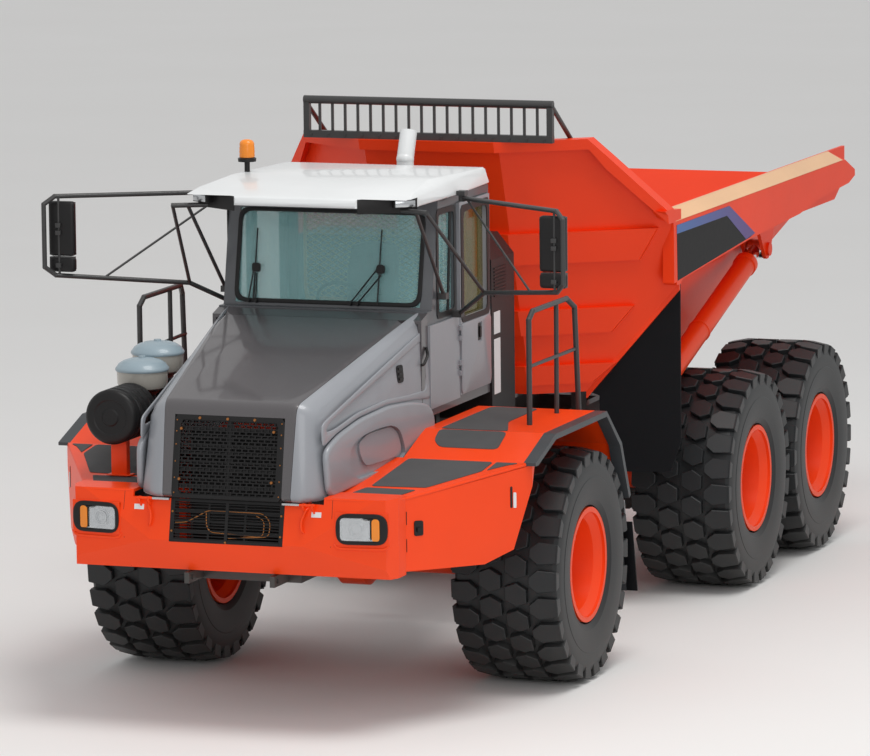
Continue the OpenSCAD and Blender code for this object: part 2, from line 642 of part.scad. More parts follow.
// Mirrors on their frames, left and right
mirror_x = 2190;
mirror_y = -3980;
tube_r = 19;
clamp = [970, -2900, 3850];
foot = [930, -2900, 2925];
module mirrors() {
    color(CHARCOAL) both() {
        bent_tube([clamp, [mirror_x - 90, mirror_y + 60, 3890], [mirror_x - tube_r - 1, mirror_y, 3830],
            [mirror_x - tube_r - 1, mirror_y, 3330], [mirror_x - 90, mirror_y + 60, 3260], [1250, -3200, 3140], foot],
            tube_r);
        box([931, clamp[1] - 40, clamp[2] + 23], [clamp[0] + 30, clamp[1] + 40, clamp[2] + 60]);
        box([clamp[0] - 25, clamp[1] - 30, clamp[2] - 25], [clamp[0] + 25, clamp[1] + 30, clamp[2] + 30]);
        box([cab_half + seam, foot[1] - 35, foot[2] - 24.7], [foot[0] + 30, foot[1] + 35, foot[2] + 25]);
        rod([1020, -2945, 3850], [1800, -3670, 3215], 9);
        bar_z(3255, 3890, mirror_x - 115, mirror_y + 75, 10);
        box([mirror_x - 235, mirror_y + 78, 3420], [mirror_x - 30, mirror_y + 140, 3840]);
        box([mirror_x - 230, mirror_y + 78, 3290], [mirror_x - 30, mirror_y + 140, 3405]);
    }
}

// Handrails of the decks
rail_rise = 890;
module handrails() {
    color(CHARCOAL) both() difference() {
        union() {
            bent_tube([[1650, -3295, 1900], [1650, -3295, arch_top + rail_rise - 60], [1650, -3200, arch_top + rail_rise],
                [1660, -2400, arch_top + rail_rise], [1690, -2290, arch_top + rail_rise - 80], [1700, -2200, 1800]], 22);
            rod([1652, -2640, 1900], [1655, -2640, arch_top + rail_rise - 5], 19);
            rod([1650, -3300, 2580], [1688, -2240, 2590], 15);
        }
        side_plate(1000, 2000) polygon(concat([for (p = arch_path()) [p[0], p[1] + seam]], [[-1820, 1000],
            [deck_end_y, 1000]]));
    }
}

// Air cleaner with its two pre-cleaner bowls on the right deck
cleaner_x = -1110;
cleaner_z = 2340;
drum_r = 215;
bowls = [[-4550, 2650], [-4230, 2740]];
legs = [[-5050, 2200], [-4300, 2240]];
module air_cleaner() {
    color(BLACK) {
        bar_y(-5200, -4740, cleaner_x, cleaner_z, drum_r);
        bar_y(-5215, -5190, cleaner_x, cleaner_z, drum_r - 45);
        for (b = bowls) {
            bar_z(cleaner_z, b[1] - 80, cleaner_x, b[0], 110);
            bar_z(b[1] - 80, b[1] + 20, cleaner_x, b[0], 175);
            translate([cleaner_x, b[0], b[1] + 20]) cylinder(h = 70, r1 = 175, r2 = 90);
        }
        box([cleaner_x - 100, -4760, cleaner_z - 110], [cleaner_x + 100, -4150, cleaner_z]);
        // Legs down to the sloping deck
        difference() {
            for (leg = legs)
                box([cleaner_x - 70, leg[0], deck_z0], [cleaner_x + 70, leg[0] + 70, leg[1]]);
            side_plate(-2000, 0) polygon([[frame_front, deck_z0 + seam], [deck_end_y, deck_z1 + seam],
                [deck_end_y, 1500], [frame_front, 1500]]);
        }
    }
}

// Exhaust stack behind the cab
module exhaust() {
    color("white") {
        bent_tube([[0, stack_y, rear_cowl_top + seam], [0, stack_y, 4000], [0, stack_y + 90, 4220]], 70);
    }
}
stack_y = -1570;
rear_cowl_top = 3420;
module rear_cowl() {
    color(BLACK) front_plate(cab_back + seam, stack_y + 90) polygon([[-900, 1950], [900, 1950], [900, 3250],
        [760, rear_cowl_top], [-760, rear_cowl_top], [-900, 3250]]);
}
module beacon() {
    color("orange") {
        bar_z(beacon_z, beacon_z + 30, beacon_at[0], beacon_at[1], 75);
        bar_z(beacon_z + 30, beacon_z + 180, beacon_at[0], beacon_at[1], 60);
    }
}

// Hitch yoke: turns on the upright pin and carries the roll tube
roll_y0 = -640;
roll_y1 = -330;
module hitch_yoke() {
    color(CHARCOAL) difference() {
        union() {
            bar_z(ear_lo + 2, ear_hi - 2, 0, hitch_y, 200);
            bar_y(hitch_y, roll_y1 + 60, 0, hitch_z, roll_r);
            bar_y(hitch_y, roll_y0 - 10, 0, hitch_z, roll_r + 38);
            bar_y(roll_y1 + 10, roll_y1 + 60, 0, hitch_z, roll_r + 38);
            for (s = [-1, 1])
                translate([0, 0, hitch_z + s * (steer_lug_gap + steer_lug_t / 2) - steer_lug_t / 2])
                    linear_extrude(steer_lug_t) {
                        for (m = [-1, 1]) translate([m * steer_eye[0], steer_eye[1]]) circle(r = 70);
                        translate([-steer_eye[0], steer_eye[1] - 70]) square([2 * steer_eye[0], 140]);
                    }
        }
        bar_z(ear_lo - 10, ear_hi + 10, 0, hitch_y, hitch_pin_r + fit_gap);
    }
}

// Steering cylinders
function steer_dir(m) = [m * (steer_eye[0] - steer_base[0]), steer_eye[1] - steer_base[1], 0];
steer_len = norm(steer_dir(1));
steer_bore_r = 40;
steer_angle = atan2(steer_base[0] - steer_eye[0], steer_eye[1] - steer_base[1]);
module steer_frame(m) {
    translate([m * steer_base[0], steer_base[1], hitch_z]) rotate([0, 0, m * steer_angle]) children();
}
module steer_barrel(m) {
    color(ORANGE) steer_frame(m) difference() {
        union() {
            bar_y(110, 880, 0, 0, steer_barrel_r);
            bar_y(30, 120, 0, 0, 38);
            bar_z(-steer_lug_gap + 3, steer_lug_gap - 3, 0, 0, 60);
        }
        bar_y(150, 900, 0, 0, steer_bore_r + 1);
        bar_z(-80, 80, 0, 0, steer_pin_r + fit_gap);
    }
}
module steer_rod(m) {
    color(STEEL) steer_frame(m) difference() {
        union() {
            bar_y(steer_len - 900, steer_len - 40, 0, 0, steer_bore_r);
            bar_z(-steer_lug_gap + 3, steer_lug_gap - 3, 0, steer_len, 57);
        }
        bar_z(-80, 80, 0, steer_len, steer_pin_r);
    }
}
module steer_barrel_l() { steer_barrel(1); }
module steer_barrel_r() { steer_barrel(-1); }
module steer_rod_l() { steer_rod(1); }
module steer_rod_r() { steer_rod(-1); }

// Rear frame
rrail_in = 330;
rrail_out = 420;
rrail_top = 1480;
hoist_low = [750, 1790];
hoist_top = [3730, 2690];
frame_back = 4500;
lug_in = hoist_x - 75;
lug_out = hoist_x + 75;
lug_t = 30;
eye_half = 68;
hoist_pin_r = 40;
pad_rows = [1200, 2800];
module rear_frame() {
    color(CHARCOAL) {
        difference() {
            union() {
                bar_y(roll_y0, roll_y1, 0, hitch_z, roll_r + 60);
                box([-rrail_out, roll_y0 + 60, rail_z], [rrail_out, roll_y1, hitch_z + 190]);
                box([-rrail_out, roll_y0 + 60, rrail_top - 160], [rrail_out, roll_y1 + 420, rrail_top]);
            }
            bar_y(roll_y0 - 10, roll_y1 + 500, 0, hitch_z, roll_r + fit_gap);
            box([-250, roll_y1 + 1, rail_z - 10], [250, roll_y1 + 500, hitch_z + roll_r + 50]);
        }
        both() {
            side_plate(rrail_in, rrail_out) polygon([[roll_y0 + 60, rail_z], [4200, rail_z], [frame_back, 1300],
                [frame_back, rrail_top + 60], [roll_y0 + 60, rrail_top]]);
            // Ears of the bin's pivot
            side_plate(rrail_out, rrail_out + 40) polygon([[tip_y - 300, rrail_top - 100],
                [tip_y - 90, tip_z + 60], [tip_y - 40, tip_z + 90], [tip_y + 40, tip_z + 90],
                [tip_y + 90, tip_z + 60], [frame_back, rrail_top - 100]]);
            // Saddles of the beams' pivots
            box([rrail_in, bogie_y - 160, 560], [rrail_out, bogie_y + 160, rail_z]);
            bar_x(rrail_out, 740, bogie_y, 680, 80);
            // Ears that hold the hoist cylinders
            for (x = [lug_in - lug_t, lug_out])
                side_plate(x, x + lug_t) polygon([[470, 1480], [hoist_low[0] - 90, hoist_low[1] + 20],
                    [hoist_low[0] - 40, hoist_low[1] + 80], [hoist_low[0] + 50, hoist_low[1] + 80],
                    [hoist_low[0] + 90, hoist_low[1]], [hoist_low[0] + 40, 1480]]);
            bar_x(lug_in - lug_t - 15, lug_out + lug_t + 15, hoist_low[0], hoist_low[1], hoist_pin_r);
            // Pads on which the lowered bin rests
            for (y = pad_rows) {
                box([rrail_out, y, rrail_top - 100], [bin_beam_x + bin_beam_w, y + 150, rrail_top + 30]);
                box([bin_beam_x, y, rrail_top + 20], [bin_beam_x + bin_beam_w, y + 150, bin_z - 60 - 1]);
            }
        }
        box([-lug_out - lug_t, 480, 1480], [lug_out + lug_t, 720, 1600]);
        for (y = [1050, 2700, 4350]) box([-rrail_in, y, rrail_top - 200], [rrail_in, y + 120, rrail_top - 20]);
        // Jaw of the rear tow pin
        difference() {
            for (z = [rrail_top - 190, rrail_top - 80]) box([-90, 4460, z], [90, 4650, z + 40]);
            bar_z(rrail_top - 200, rrail_top, 0, 4560, tow_pin_r);
        }
        bar_x(-bin_beam_x - bin_beam_w - 20, bin_beam_x + bin_beam_w + 20, tip_y, tip_z, tip_pin_r);
    }
}
beam_x0 = 560;
beam_x1 = 700;
module walking_beams() {
    color(CHARCOAL) both() difference() {
        side_plate(beam_x0, beam_x1) polygon([[mid_axle_y - 150, wheel_z - axle_r - 150],
            [mid_axle_y + 300, 560], [rear_axle_y - 300, 560], [rear_axle_y + 150, wheel_z - axle_r - 150],
            [rear_axle_y + 150, wheel_z - axle_r - seam], [rear_axle_y - 150, wheel_z - axle_r - seam],
            [rear_axle_y - 300, 800], [mid_axle_y + 300, 800], [mid_axle_y + 150, wheel_z - axle_r - seam],
            [mid_axle_y - 150, wheel_z - axle_r - seam]]);
        bar_x(beam_x0 - 1, beam_x1 + 1, bogie_y, 680, 80 + fit_gap);
    }
}

// Bin: trough of plates behind a leaning, swept headboard
bin_lean = 19.56;
wing_x = 590;
wing_slope = 0.691;
band_low = 2850;
wall_top_x = 1330;
ledge_z = 2970;
rail_w = 100;
kick_y = 3300;
kick_slope = 0.5096;
front_y = -200;
front_z = 1930;
cheek_low = [983, 1890];
cheek_high = [bin_half, 2823];
valley_z = 3454;
shoulder = [1384, headboard_z - 170];
flange_h = 90;
// Space behind the headboard, moved back by t
module behind(t) {
    d = t / cos(atan(wing_slope));
    translate([0, front_y, front_z]) rotate([bin_lean, 0, 0]) translate([0, 0, -4000]) linear_extrude(8000)
        polygon([[-wing_x, t], [wing_x, t], [2100, (2100 - wing_x) * wing_slope + d], [2100, 8000],
            [-2100, 8000], [-2100, (2100 - wing_x) * wing_slope + d]]);
}
function board_top(o) = [[-bin_half, valley_z - o * 1.3], [-shoulder[0] + o * 0.3, shoulder[1] - o * 1.1],
    [-1250, headboard_z - o], [1250, headboard_z - o], [shoulder[0] - o * 0.3, shoulder[1] - o * 1.1],
    [bin_half, valley_z - o * 1.3]];
function trough(t) = [[-floor_half + t * 0.7, bin_z + t], [floor_half - t * 0.7, bin_z + t],
    [wall_top_x - t * 0.9, band_low + t], [bin_half - rail_w - t, ledge_z + t], [bin_half - rail_w - t, bin_rail_z + t * 99],
    [-bin_half + rail_w + t, bin_rail_z + t * 99], [-bin_half + rail_w + t, ledge_z + t],
    [-wall_top_x + t * 0.9, band_low + t]];
function bin_side(t) = [[-1200, bin_z + t], [kick_y, bin_z + t],
    [tail_y + 1, bin_z + t + (tail_y + 1 - kick_y) * kick_slope], [tail_y + 1, 4800], [-1200, 4800]];
module load_space() {
    intersection() {
        front_plate(-1200, tail_y + 100) polygon(trough(bin_t));
        side_plate(-2000, 2000) polygon(bin_side(bin_t));
        behind(bin_t);
    }
}
module headboard_slab(t0, t1, outline) {
    difference() {
        intersection() { behind(t0); front_plate(-1300, 700) polygon(outline); }
        behind(t1);
    }
}
// Upright sheet that holds the cheek's lower edge, between two distances behind it
function wing_y(p) = front_y - (p[1] - front_z) * tan(bin_lean) + (p[0] - wing_x) * wing_slope / cos(bin_lean);
module flap_plate(t0, t1) {
    a = [cheek_low[0], wing_y(cheek_low)];
    b = [cheek_high[0], wing_y(cheek_high)];
    c = b + (a - b) * 0.02;
    plan_plate(1000, 3000) polygon([a + [0, t0], c + [0, t0], c + [0, t1], a + [0, t1]]);
}
rib_rows = [[3300, 3030], [2630, 2410], [2140, 1970]];
tip_y = 4350;
tip_z = 1780;
tip_pin_r = 60;
bin_beam_x = 480;
bin_beam_w = 90;
beam_drop = 230;
module bin() {
    color(BIN_ORANGE) difference() {
        union() {
            intersection() {
                front_plate(-1200, tail_y) polygon(trough(0));
                side_plate(-2000, 2000) polygon(bin_side(0));
                behind(0);
            }
            headboard_slab(0, bin_t, concat(board_top(0), [cheek_high, cheek_low, [-cheek_low[0], cheek_low[1]],
                [-cheek_high[0], cheek_high[1]]]));
            headboard_slab(-110, 0, concat(board_top(0), [for (i = [5 : -1 : 0]) board_top(flange_h)[i]]));
            for (r = rib_rows) headboard_slab(-50, 0, [[-1640 + (3300 - r[0]) * 0.35, r[0]], [1640 - (3300 - r[0]) * 0.35, r[0]],
                [1600 - (3300 - r[1]) * 0.42, r[1]], [-1600 + (3300 - r[1]) * 0.42, r[1]]]);
            both() {
                // Rail with its upper face leaning inwards
                intersection() {
                    side_plate(bin_half - rail_w, bin_half) polygon([[150, 2823], [2350, 2950], [3850, 3000],
                        [4500, 3070], [tail_y - 200, 3110], [tail_y, 3160], [tail_y, 3215],
                        [tail_y - 570, bin_rail_z], [150, bin_rail_z]]);
                    front_plate(100, tail_y + 1) polygon([[bin_half - rail_w - 1, 2700], [bin_half + 1, 2700],
                        [bin_half + 1, bin_rail_z - rail_w + 4], [bin_half - rail_w - 1, bin_rail_z + 5]]);
                }
                side_plate(bin_half - rail_w - 10, bin_half) polygon([[-90, valley_z], [140, 3330], [225, 2800],
                    [350, 2800], [350, valley_z - 24]]);
                // Ears of the hoist cylinders
                for (x = [lug_in - lug_t, lug_out])
                    side_plate(x, x + lug_t) polygon([[hoist_top[0] - 330, ledge_z + 10],
                        [hoist_top[0] - 80, hoist_top[1] - 40], [hoist_top[0] - 30, hoist_top[1] - 85],
                        [hoist_top[0] + 30, hoist_top[1] - 85], [hoist_top[0] + 80, hoist_top[1] - 40],
                        [hoist_top[0] + 260, ledge_z + 10]]);
                bar_x(lug_out + lug_t - 5, lug_out + lug_t + 25, hoist_top[0], hoist_top[1], 60);
                // Strip along the cheek's lower edge that carries the flap
                intersection() {
                    flap_plate(0, 30);
                    front_plate(-500, 900) polygon([cheek_low - [0, 60], cheek_high - [0, 60], cheek_high + [0, 60],
                        cheek_low + [0, 60]]);
                }
                // Beams under the floor and up the kicked tail, and the lugs of the pivot
                difference() {
                    side_plate(bin_beam_x, bin_beam_x + bin_beam_w) polygon([[100, bin_z + 5], [kick_y, bin_z + 5],
                        [tail_y - 200, bin_z + 5 + (tail_y - 200 - kick_y) * kick_slope],
                        [tail_y - 200, bin_z - 60 + (tail_y - 200 - kick_y) * kick_slope],
                        [tip_y + 350, bin_z - beam_drop + (tip_y + 350 - kick_y) * kick_slope],
                        [tip_y + 110, tip_z - 40], [tip_y + 60, tip_z - 100], [tip_y - 60, tip_z - 100],
                        [tip_y - 110, tip_z - 40], [kick_y + 100, bin_z - 60], [100, bin_z - 60]]);
                    bar_x(bin_beam_x - 10, bin_beam_x + bin_beam_w + 10, tip_y, tip_z, tip_pin_r + fit_gap);
                }
            }
            for (y = [1200, 2400, 3250]) box([-bin_beam_x, y, bin_z - 50], [bin_beam_x, y + 80, bin_z + 5]);
            for (k = [0.35, 0.7]) translate([0, kick_y + k * 2200, bin_z + k * 2200 * kick_slope])
                rotate([atan(kick_slope), 0, 0]) box([-floor_half, 0, -120], [floor_half, 100, 5]);
        }
        load_space();
    }
}
module bin_rack() {
    color(CHARCOAL) {
        bar_x(-1090, 1090, rack_y, headboard_z + rack_h - 35, 34);
        box([-1090, rack_y - 30, headboard_z + seam], [1090, rack_y + 30, headboard_z + 60]);
        for (i = [0 : rack_bars]) {
            x = -1065 + i * 2130 / rack_bars;
            w = (i == 0 || i == rack_bars) ? 25 : 10;
            box([x - w, rack_y - w, headboard_z + 30], [x + w, rack_y + w, headboard_z + rack_h - 35]);
        }
    }
}
rack_y = front_y - (headboard_z - front_z) * tan(bin_lean) - 45;
module bin_flaps() {
    color(BLACK) both() intersection() {
        flap_plate(30 + seam, 46);
        front_plate(-500, 900) polygon([cheek_low, cheek_high, [cheek_high[0], 1500], [1650, 1200], [1080, 1200],
            [1080, 1850]]);
    }
}

// Hoist cylinders
hoist_len = norm(hoist_top - hoist_low);
hoist_angle = atan2(hoist_top[1] - hoist_low[1], hoist_top[0] - hoist_low[0]);
module hoist_frame() {
    both() translate([hoist_x, hoist_low[0], hoist_low[1]]) rotate([hoist_angle, 0, 0]) children();
}
barrel_l = hoist_len - 330;
module hoist_barrels() {
    color(ORANGE) hoist_frame() difference() {
        union() {
            bar_y(115, barrel_l, 0, 0, hoist_r);
            bar_y(40, 130, 0, 0, 62);
            bar_x(-eye_half, eye_half, 0, 0, 85);
        }
        bar_y(250, barrel_l + 10, 0, 0, hoist_rod_r + 1);
        bar_x(-80, 80, 0, 0, hoist_pin_r + fit_gap);
    }
}
module hoist_rods() {
    color(STEEL) hoist_frame() difference() {
        union() {
            bar_y(hoist_len - 2700, hoist_len - 50, 0, 0, hoist_rod_r);
            bar_x(-eye_half, eye_half, hoist_len, 0, 85);
        }
        bar_x(-80, 80, hoist_len, 0, hoist_pin_r);
    }
}

front_frame();
tow_tabs();
hitch_frame();
cab_platform();
front_axle();
front_struts();
engine_block();
radiator();
bumper();
decks();
fenders();
fender_lips();
head_lamps();
lower_grille();
cab_shell();
cab_panels();
cab_roof();
cab_glass();
cowl();
seat();
dash();
mirrors();
handrails();
air_cleaner();
exhaust();
rear_cowl();
beacon();
hood_top();
hood_sides();
hood_grille();
cab_door();
door_glass();
hitch_yoke();
steer_barrel_l();
steer_barrel_r();
steer_rod_l();
steer_rod_r();
rear_frame();
mid_axle();
rear_axle();
walking_beams();
bin();
bin_rack();
bin_flaps();
hoist_barrels();
hoist_rods();
tyre_fl();
tyre_fr();
tyre_ml();
tyre_mr();
tyre_rl();
tyre_rr();
rim_fl();
rim_fr();
rim_ml();
rim_mr();
rim_rl();
rim_rr();
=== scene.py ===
# %% [markdown]
# An articulated dump truck, dressed for its picture.
# The construction model gives every load-carrying piece at its real size and place.
# This notebook leaves those pieces where they are, gives them paint, rubber and glass, and
# models what the construction model leaves plain: tread, lamps, mesh, trim and seals.
# Everything is in metres, the front faces -Y and the ground is z = 0.

# %% Load the construction model
import bpy, bmesh
from math import pi, sin, cos, radians
from mathutils import Vector, Matrix


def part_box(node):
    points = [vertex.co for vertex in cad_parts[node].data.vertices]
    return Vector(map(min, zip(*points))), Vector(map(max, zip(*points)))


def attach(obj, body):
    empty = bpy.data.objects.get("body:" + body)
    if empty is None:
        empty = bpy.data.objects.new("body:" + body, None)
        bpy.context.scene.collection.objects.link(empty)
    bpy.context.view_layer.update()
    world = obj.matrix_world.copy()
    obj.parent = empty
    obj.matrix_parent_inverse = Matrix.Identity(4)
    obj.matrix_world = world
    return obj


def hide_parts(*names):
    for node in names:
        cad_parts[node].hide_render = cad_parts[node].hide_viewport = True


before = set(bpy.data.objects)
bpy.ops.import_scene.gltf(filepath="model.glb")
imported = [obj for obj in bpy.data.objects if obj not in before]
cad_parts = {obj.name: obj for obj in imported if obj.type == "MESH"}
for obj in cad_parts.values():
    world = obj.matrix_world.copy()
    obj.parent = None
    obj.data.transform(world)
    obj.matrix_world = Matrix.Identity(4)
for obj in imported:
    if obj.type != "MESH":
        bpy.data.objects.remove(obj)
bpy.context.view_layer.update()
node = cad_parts
scene = bpy.context.scene
SIDES = (1, -1)
print("pieces from the construction model:", len(node))

# %% [markdown]
# Shader maths reads best as ordinary sums. A small class wraps a socket, and each sum on it
# adds the Math node that works it out. A bench then builds one material: a single method
# makes every other kind of node, and short helpers stand for the few that come back often.

# %% A workbench for materials
class Signal:
    def __init__(self, bench, socket):
        self.bench, self.socket = bench, socket

    def sum_of(self, operation, first, second):
        return self.bench.add("ShaderNodeMath", {"operation": operation}, {0: first, 1: second})

    def __add__(self, other):
        return self.sum_of("ADD", self, other)

    def __radd__(self, other):
        return self.sum_of("ADD", other, self)

    def __sub__(self, other):
        return self.sum_of("SUBTRACT", self, other)

    def __rsub__(self, other):
        return self.sum_of("SUBTRACT", other, self)

    def __mul__(self, other):
        return self.sum_of("MULTIPLY", self, other)

    def __rmul__(self, other):
        return self.sum_of("MULTIPLY", other, self)


class Bench:
    def __init__(self, name):
        self.material = bpy.data.materials.new(name)
        self.material.use_nodes = True
        self.tree = self.material.node_tree
        self.tree.nodes.clear()

    def add(self, kind, settings=None, inputs=None, out=0):
        made = self.tree.nodes.new(kind)
        for key, value in (settings or {}).items():
            setattr(made, key, value)
        for key, value in (inputs or {}).items():
            if isinstance(value, Signal):
                self.tree.links.new(value.socket, made.inputs[key])
            else:
                made.inputs[key].default_value = value
        return Signal(self, made.outputs[out])

    def mix(self, share, first, second):
        first = (*first, 1) if isinstance(first, tuple) else first
        second = (*second, 1) if isinstance(second, tuple) else second
        return self.add("ShaderNodeMix", {"data_type": "RGBA"}, {0: share, 6: first, 7: second}, out=2)

    def place(self, scale=(1, 1, 1)):
        here = self.add("ShaderNodeTexCoord", out=3)
        return self.add("ShaderNodeMapping", None, {"Vector": here, "Scale": scale})

    def along(self, axis):
        return self.add("ShaderNodeSeparateXYZ", None, {"Vector": self.place()}, out=axis)

    def noise(self, size, detail=3.0, rough=0.5, where=None):
        return self.add("ShaderNodeTexNoise", None, {"Vector": where or self.place(),
                        "Scale": 1 / size, "Detail": detail, "Roughness": rough})

    def fade(self, value, start, end, first, last):
        return self.add("ShaderNodeMapRange", None, {"Value": value, "From Min": start, "From Max": end,
                                                     "To Min": first, "To Max": last})

    def bump(self, height, depth, strength):
        return self.add("ShaderNodeBump", None, {"Strength": strength, "Distance": depth, "Height": height})

    def finish(self, **sockets):
        surface = self.add("ShaderNodeBsdfPrincipled", None,
                           {key.replace("_", " "): value for key, value in sockets.items()})
        end = self.tree.nodes.new("ShaderNodeOutputMaterial")
        self.tree.links.new(surface.socket, end.inputs["Surface"])
        return self.material


def shade(colour, factor):
    return tuple(min(1, c * factor) for c in colour)


print("bench ready")

# %% [markdown]
# Paint on a working truck is even, with a faint orange peel, slow changes of tone over
# metres, and pale dust that lies thicker near the ground. A flat colour would look like
# plastic, and a painted picture would need an image, so every paint is one recipe of noises
# at real sizes: tone at 0.9 m, dust at 16 cm, peel at 6 mm, and metal flake at 1 mm.

# %% Paints
DUST_COLOUR = (0.30, 0.235, 0.17)
FLAKE_COLOUR = (0.55, 0.55, 0.56)


def paint(name, colour, rough=0.32, metal=0.0, coat=0.6, dust=0.25, flake=0.0, shine=0.5):
    b = Bench(name)
    base = b.mix(b.noise(0.9, 4), shade(colour, 0.86), shade(colour, 1.08))
    if flake:
        base = b.mix(b.noise(0.0012, 1) * flake, base, FLAKE_COLOUR)
    grime = b.fade(b.along(2), 0.3, 1.7, dust, dust * 0.12) * b.noise(0.16, 6, 0.65)
    return b.finish(Base_Color=b.mix(grime, base, DUST_COLOUR), Metallic=metal,
                    Roughness=rough + grime * 0.9 + b.noise(0.05, 3) * 0.06,
                    Coat_Weight=coat, Coat_Roughness=0.08, Specular_IOR_Level=shine,
                    Normal=b.bump(b.noise(0.006, 2), 0.0004, 0.25))


orange = paint("orange_paint", (0.95, 0.058, 0.001), rough=0.40, coat=0.08, dust=0.08, shine=0.3)
bin_orange = paint("bin_paint", (0.90, 0.045, 0.001), rough=0.45, coat=0.05, dust=0.07, shine=0.3)
# Pale cream for the bin rails' upper faces and edges: a painted highlight, not a paint of the truck.
rail_highlight_cream = paint("painted_rail_highlight", (0.90, 0.50, 0.22), rough=0.34)
hood_dark = paint("dark_metallic", (0.052, 0.045, 0.050), rough=0.34, metal=0.1, coat=0.8,
                  dust=0.06, flake=0.12)
hood_light = paint("light_metallic", (0.27, 0.285, 0.315), rough=0.40, metal=0.12, coat=0.35,
                   dust=0.06, flake=0.2)
bowl_blue = paint("pale_blue_shell", (0.27, 0.35, 0.40), rough=0.4, coat=0.3, dust=0.2)
bowl_clear = paint("milky_bowl", (0.42, 0.40, 0.36), rough=0.35, coat=0.5, dust=0.3)
charcoal = paint("charcoal_paint", (0.028, 0.029, 0.031), rough=0.42, coat=0.2, dust=0.35)
cab_grey = paint("cab_paint", (0.085, 0.09, 0.10), rough=0.38, coat=0.4, dust=0.12)
white_paint = paint("white_paint", (0.74, 0.76, 0.77), rough=0.35, coat=0.4, dust=0.05)
brass_tube = paint("brass_tube", (0.40, 0.16, 0.05), rough=0.35, metal=0.9, coat=0.0, dust=0.3)
guard_paint = paint("guard_paint", (0.72, 0.46, 0.13), rough=0.5, coat=0.1, dust=0.1)
band_black = paint("band_black", (0.003, 0.003, 0.004), rough=0.45, coat=0.0, dust=0.01, shine=0.15)
print("paints:", len(bpy.data.materials))

# %% [markdown]
# Rubber and moulded plastic are matt and slightly uneven. The tyre keeps pale dust in its
# pores and near its foot; the plastic has a fine grain. One recipe serves both, with the
# grain's size and depth as its two main values. The seat's cloth is a woven band pattern.

# %% Rubber, plastic and cloth
GROUND_DUST = (0.24, 0.20, 0.155)


def dull(name, colour, rough, grain, depth, dust=0.3, floor_dust=1.0, shine=0.5):
    b = Bench(name)
    base = b.mix(b.noise(0.35, 5), shade(colour, 0.8), shade(colour, 1.25))
    grime = b.fade(b.along(2), 0.0, 0.9, floor_dust, 0.25) * b.noise(0.09, 7, 0.7) * dust
    return b.finish(Base_Color=b.mix(grime, base, GROUND_DUST), Roughness=rough + grime * 0.3,
                    Specular_IOR_Level=shine, Normal=b.bump(b.noise(grain, 3), depth, 0.45))


tyre_rubber = dull("tyre_rubber", (0.012, 0.0145, 0.017), 0.45, 0.012, 0.0012, 0.14, shine=0.4)
lip_rubber = dull("lip_rubber", (0.038, 0.044, 0.050), 0.45, 0.01, 0.0006, 0.12)
flap_rubber = dull("flap_rubber", (0.003, 0.0035, 0.005), 0.6, 0.01, 0.0006, 0.02, shine=0.15)
black_plastic = dull("black_plastic", (0.008, 0.008, 0.009), 0.4, 0.003, 0.0003, 0.1, 0.3,
                     shine=0.28)
grip_pad = dull("grip_pad", (0.060, 0.062, 0.066), 0.85, 0.004, 0.0012, 0.35)
# Near-black for the bumper's seams: painted shade of the gaps between panels.
seam_shade_black = dull("painted_seam_shade", (0.006, 0.006, 0.006), 0.8, 0.01, 0.0004, 0.02)
amber_body = dull("amber_lens_body", (0.80, 0.24, 0.02), 0.2, 0.004, 0.0002, 0.02)
red_lens = dull("red_lens_body", (0.55, 0.012, 0.010), 0.2, 0.004, 0.0002, 0.02)
cloth = Bench("seat_cloth")
weave = cloth.add("ShaderNodeTexWave", {"wave_type": "BANDS"},
                  {"Vector": cloth.place(), "Scale": 90.0, "Distortion": 1.5})
seat_cloth = cloth.finish(Base_Color=cloth.mix(weave, (0.05, 0.055, 0.06), (0.09, 0.095, 0.10)),
                          Roughness=0.9, Normal=cloth.bump(weave, 0.001, 0.5))
print("with rubber and plastic:", len(bpy.data.materials))

# %% [markdown]
# Bright metal shows fine streaks along its length, and glass a little haze where it is
# dusty. The glass is a thin see-through coat of colour, which costs less time to render
# than true refraction and looks the same on a flat pane.

# %% Steel and glass
def bright(name, colour, rough):
    b = Bench(name)
    streak = b.noise(0.02, 4, 0.6, b.place((1, 1, 6)))
    return b.finish(Base_Color=b.mix(streak, shade(colour, 0.8), colour), Metallic=1.0,
                    Roughness=rough + streak * 0.12, Normal=b.bump(streak, 0.0003, 0.2))


def clear(name, colour, see_through):
    b = Bench(name)
    haze = b.noise(0.4, 4) * 0.12
    return b.finish(Base_Color=(*colour, 1), Roughness=0.03 + haze * 0.1, Alpha=1 - (see_through - haze),
                    Specular_IOR_Level=0.6)


steel = bright("bright_steel", (0.62, 0.62, 0.63), 0.22)
chrome = bright("rod_chrome", (0.80, 0.80, 0.81), 0.08)
dull_steel = bright("dull_steel", (0.30, 0.30, 0.31), 0.45)
mirror_glass = bright("mirror_glass", (0.82, 0.84, 0.86), 0.02)
bright_lamp = bright("lamp_reflector", (0.62, 0.64, 0.66), 0.12)
teal_glass = clear("windscreen_glass", (0.33, 0.62, 0.63), 0.68)
olive_glass = clear("side_glass", (0.16, 0.13, 0.03), 0.55)
lens_clear = clear("clear_lens", (0.80, 0.83, 0.85), 0.86)
lens_amber = clear("amber_lens", (0.95, 0.32, 0.02), 0.12)
print("materials:", len(bpy.data.materials))

# %% [markdown]
# Each piece that stays as it is gets the finish of the real one. A construction piece is
# never moved or reshaped here: only its material slot is filled.

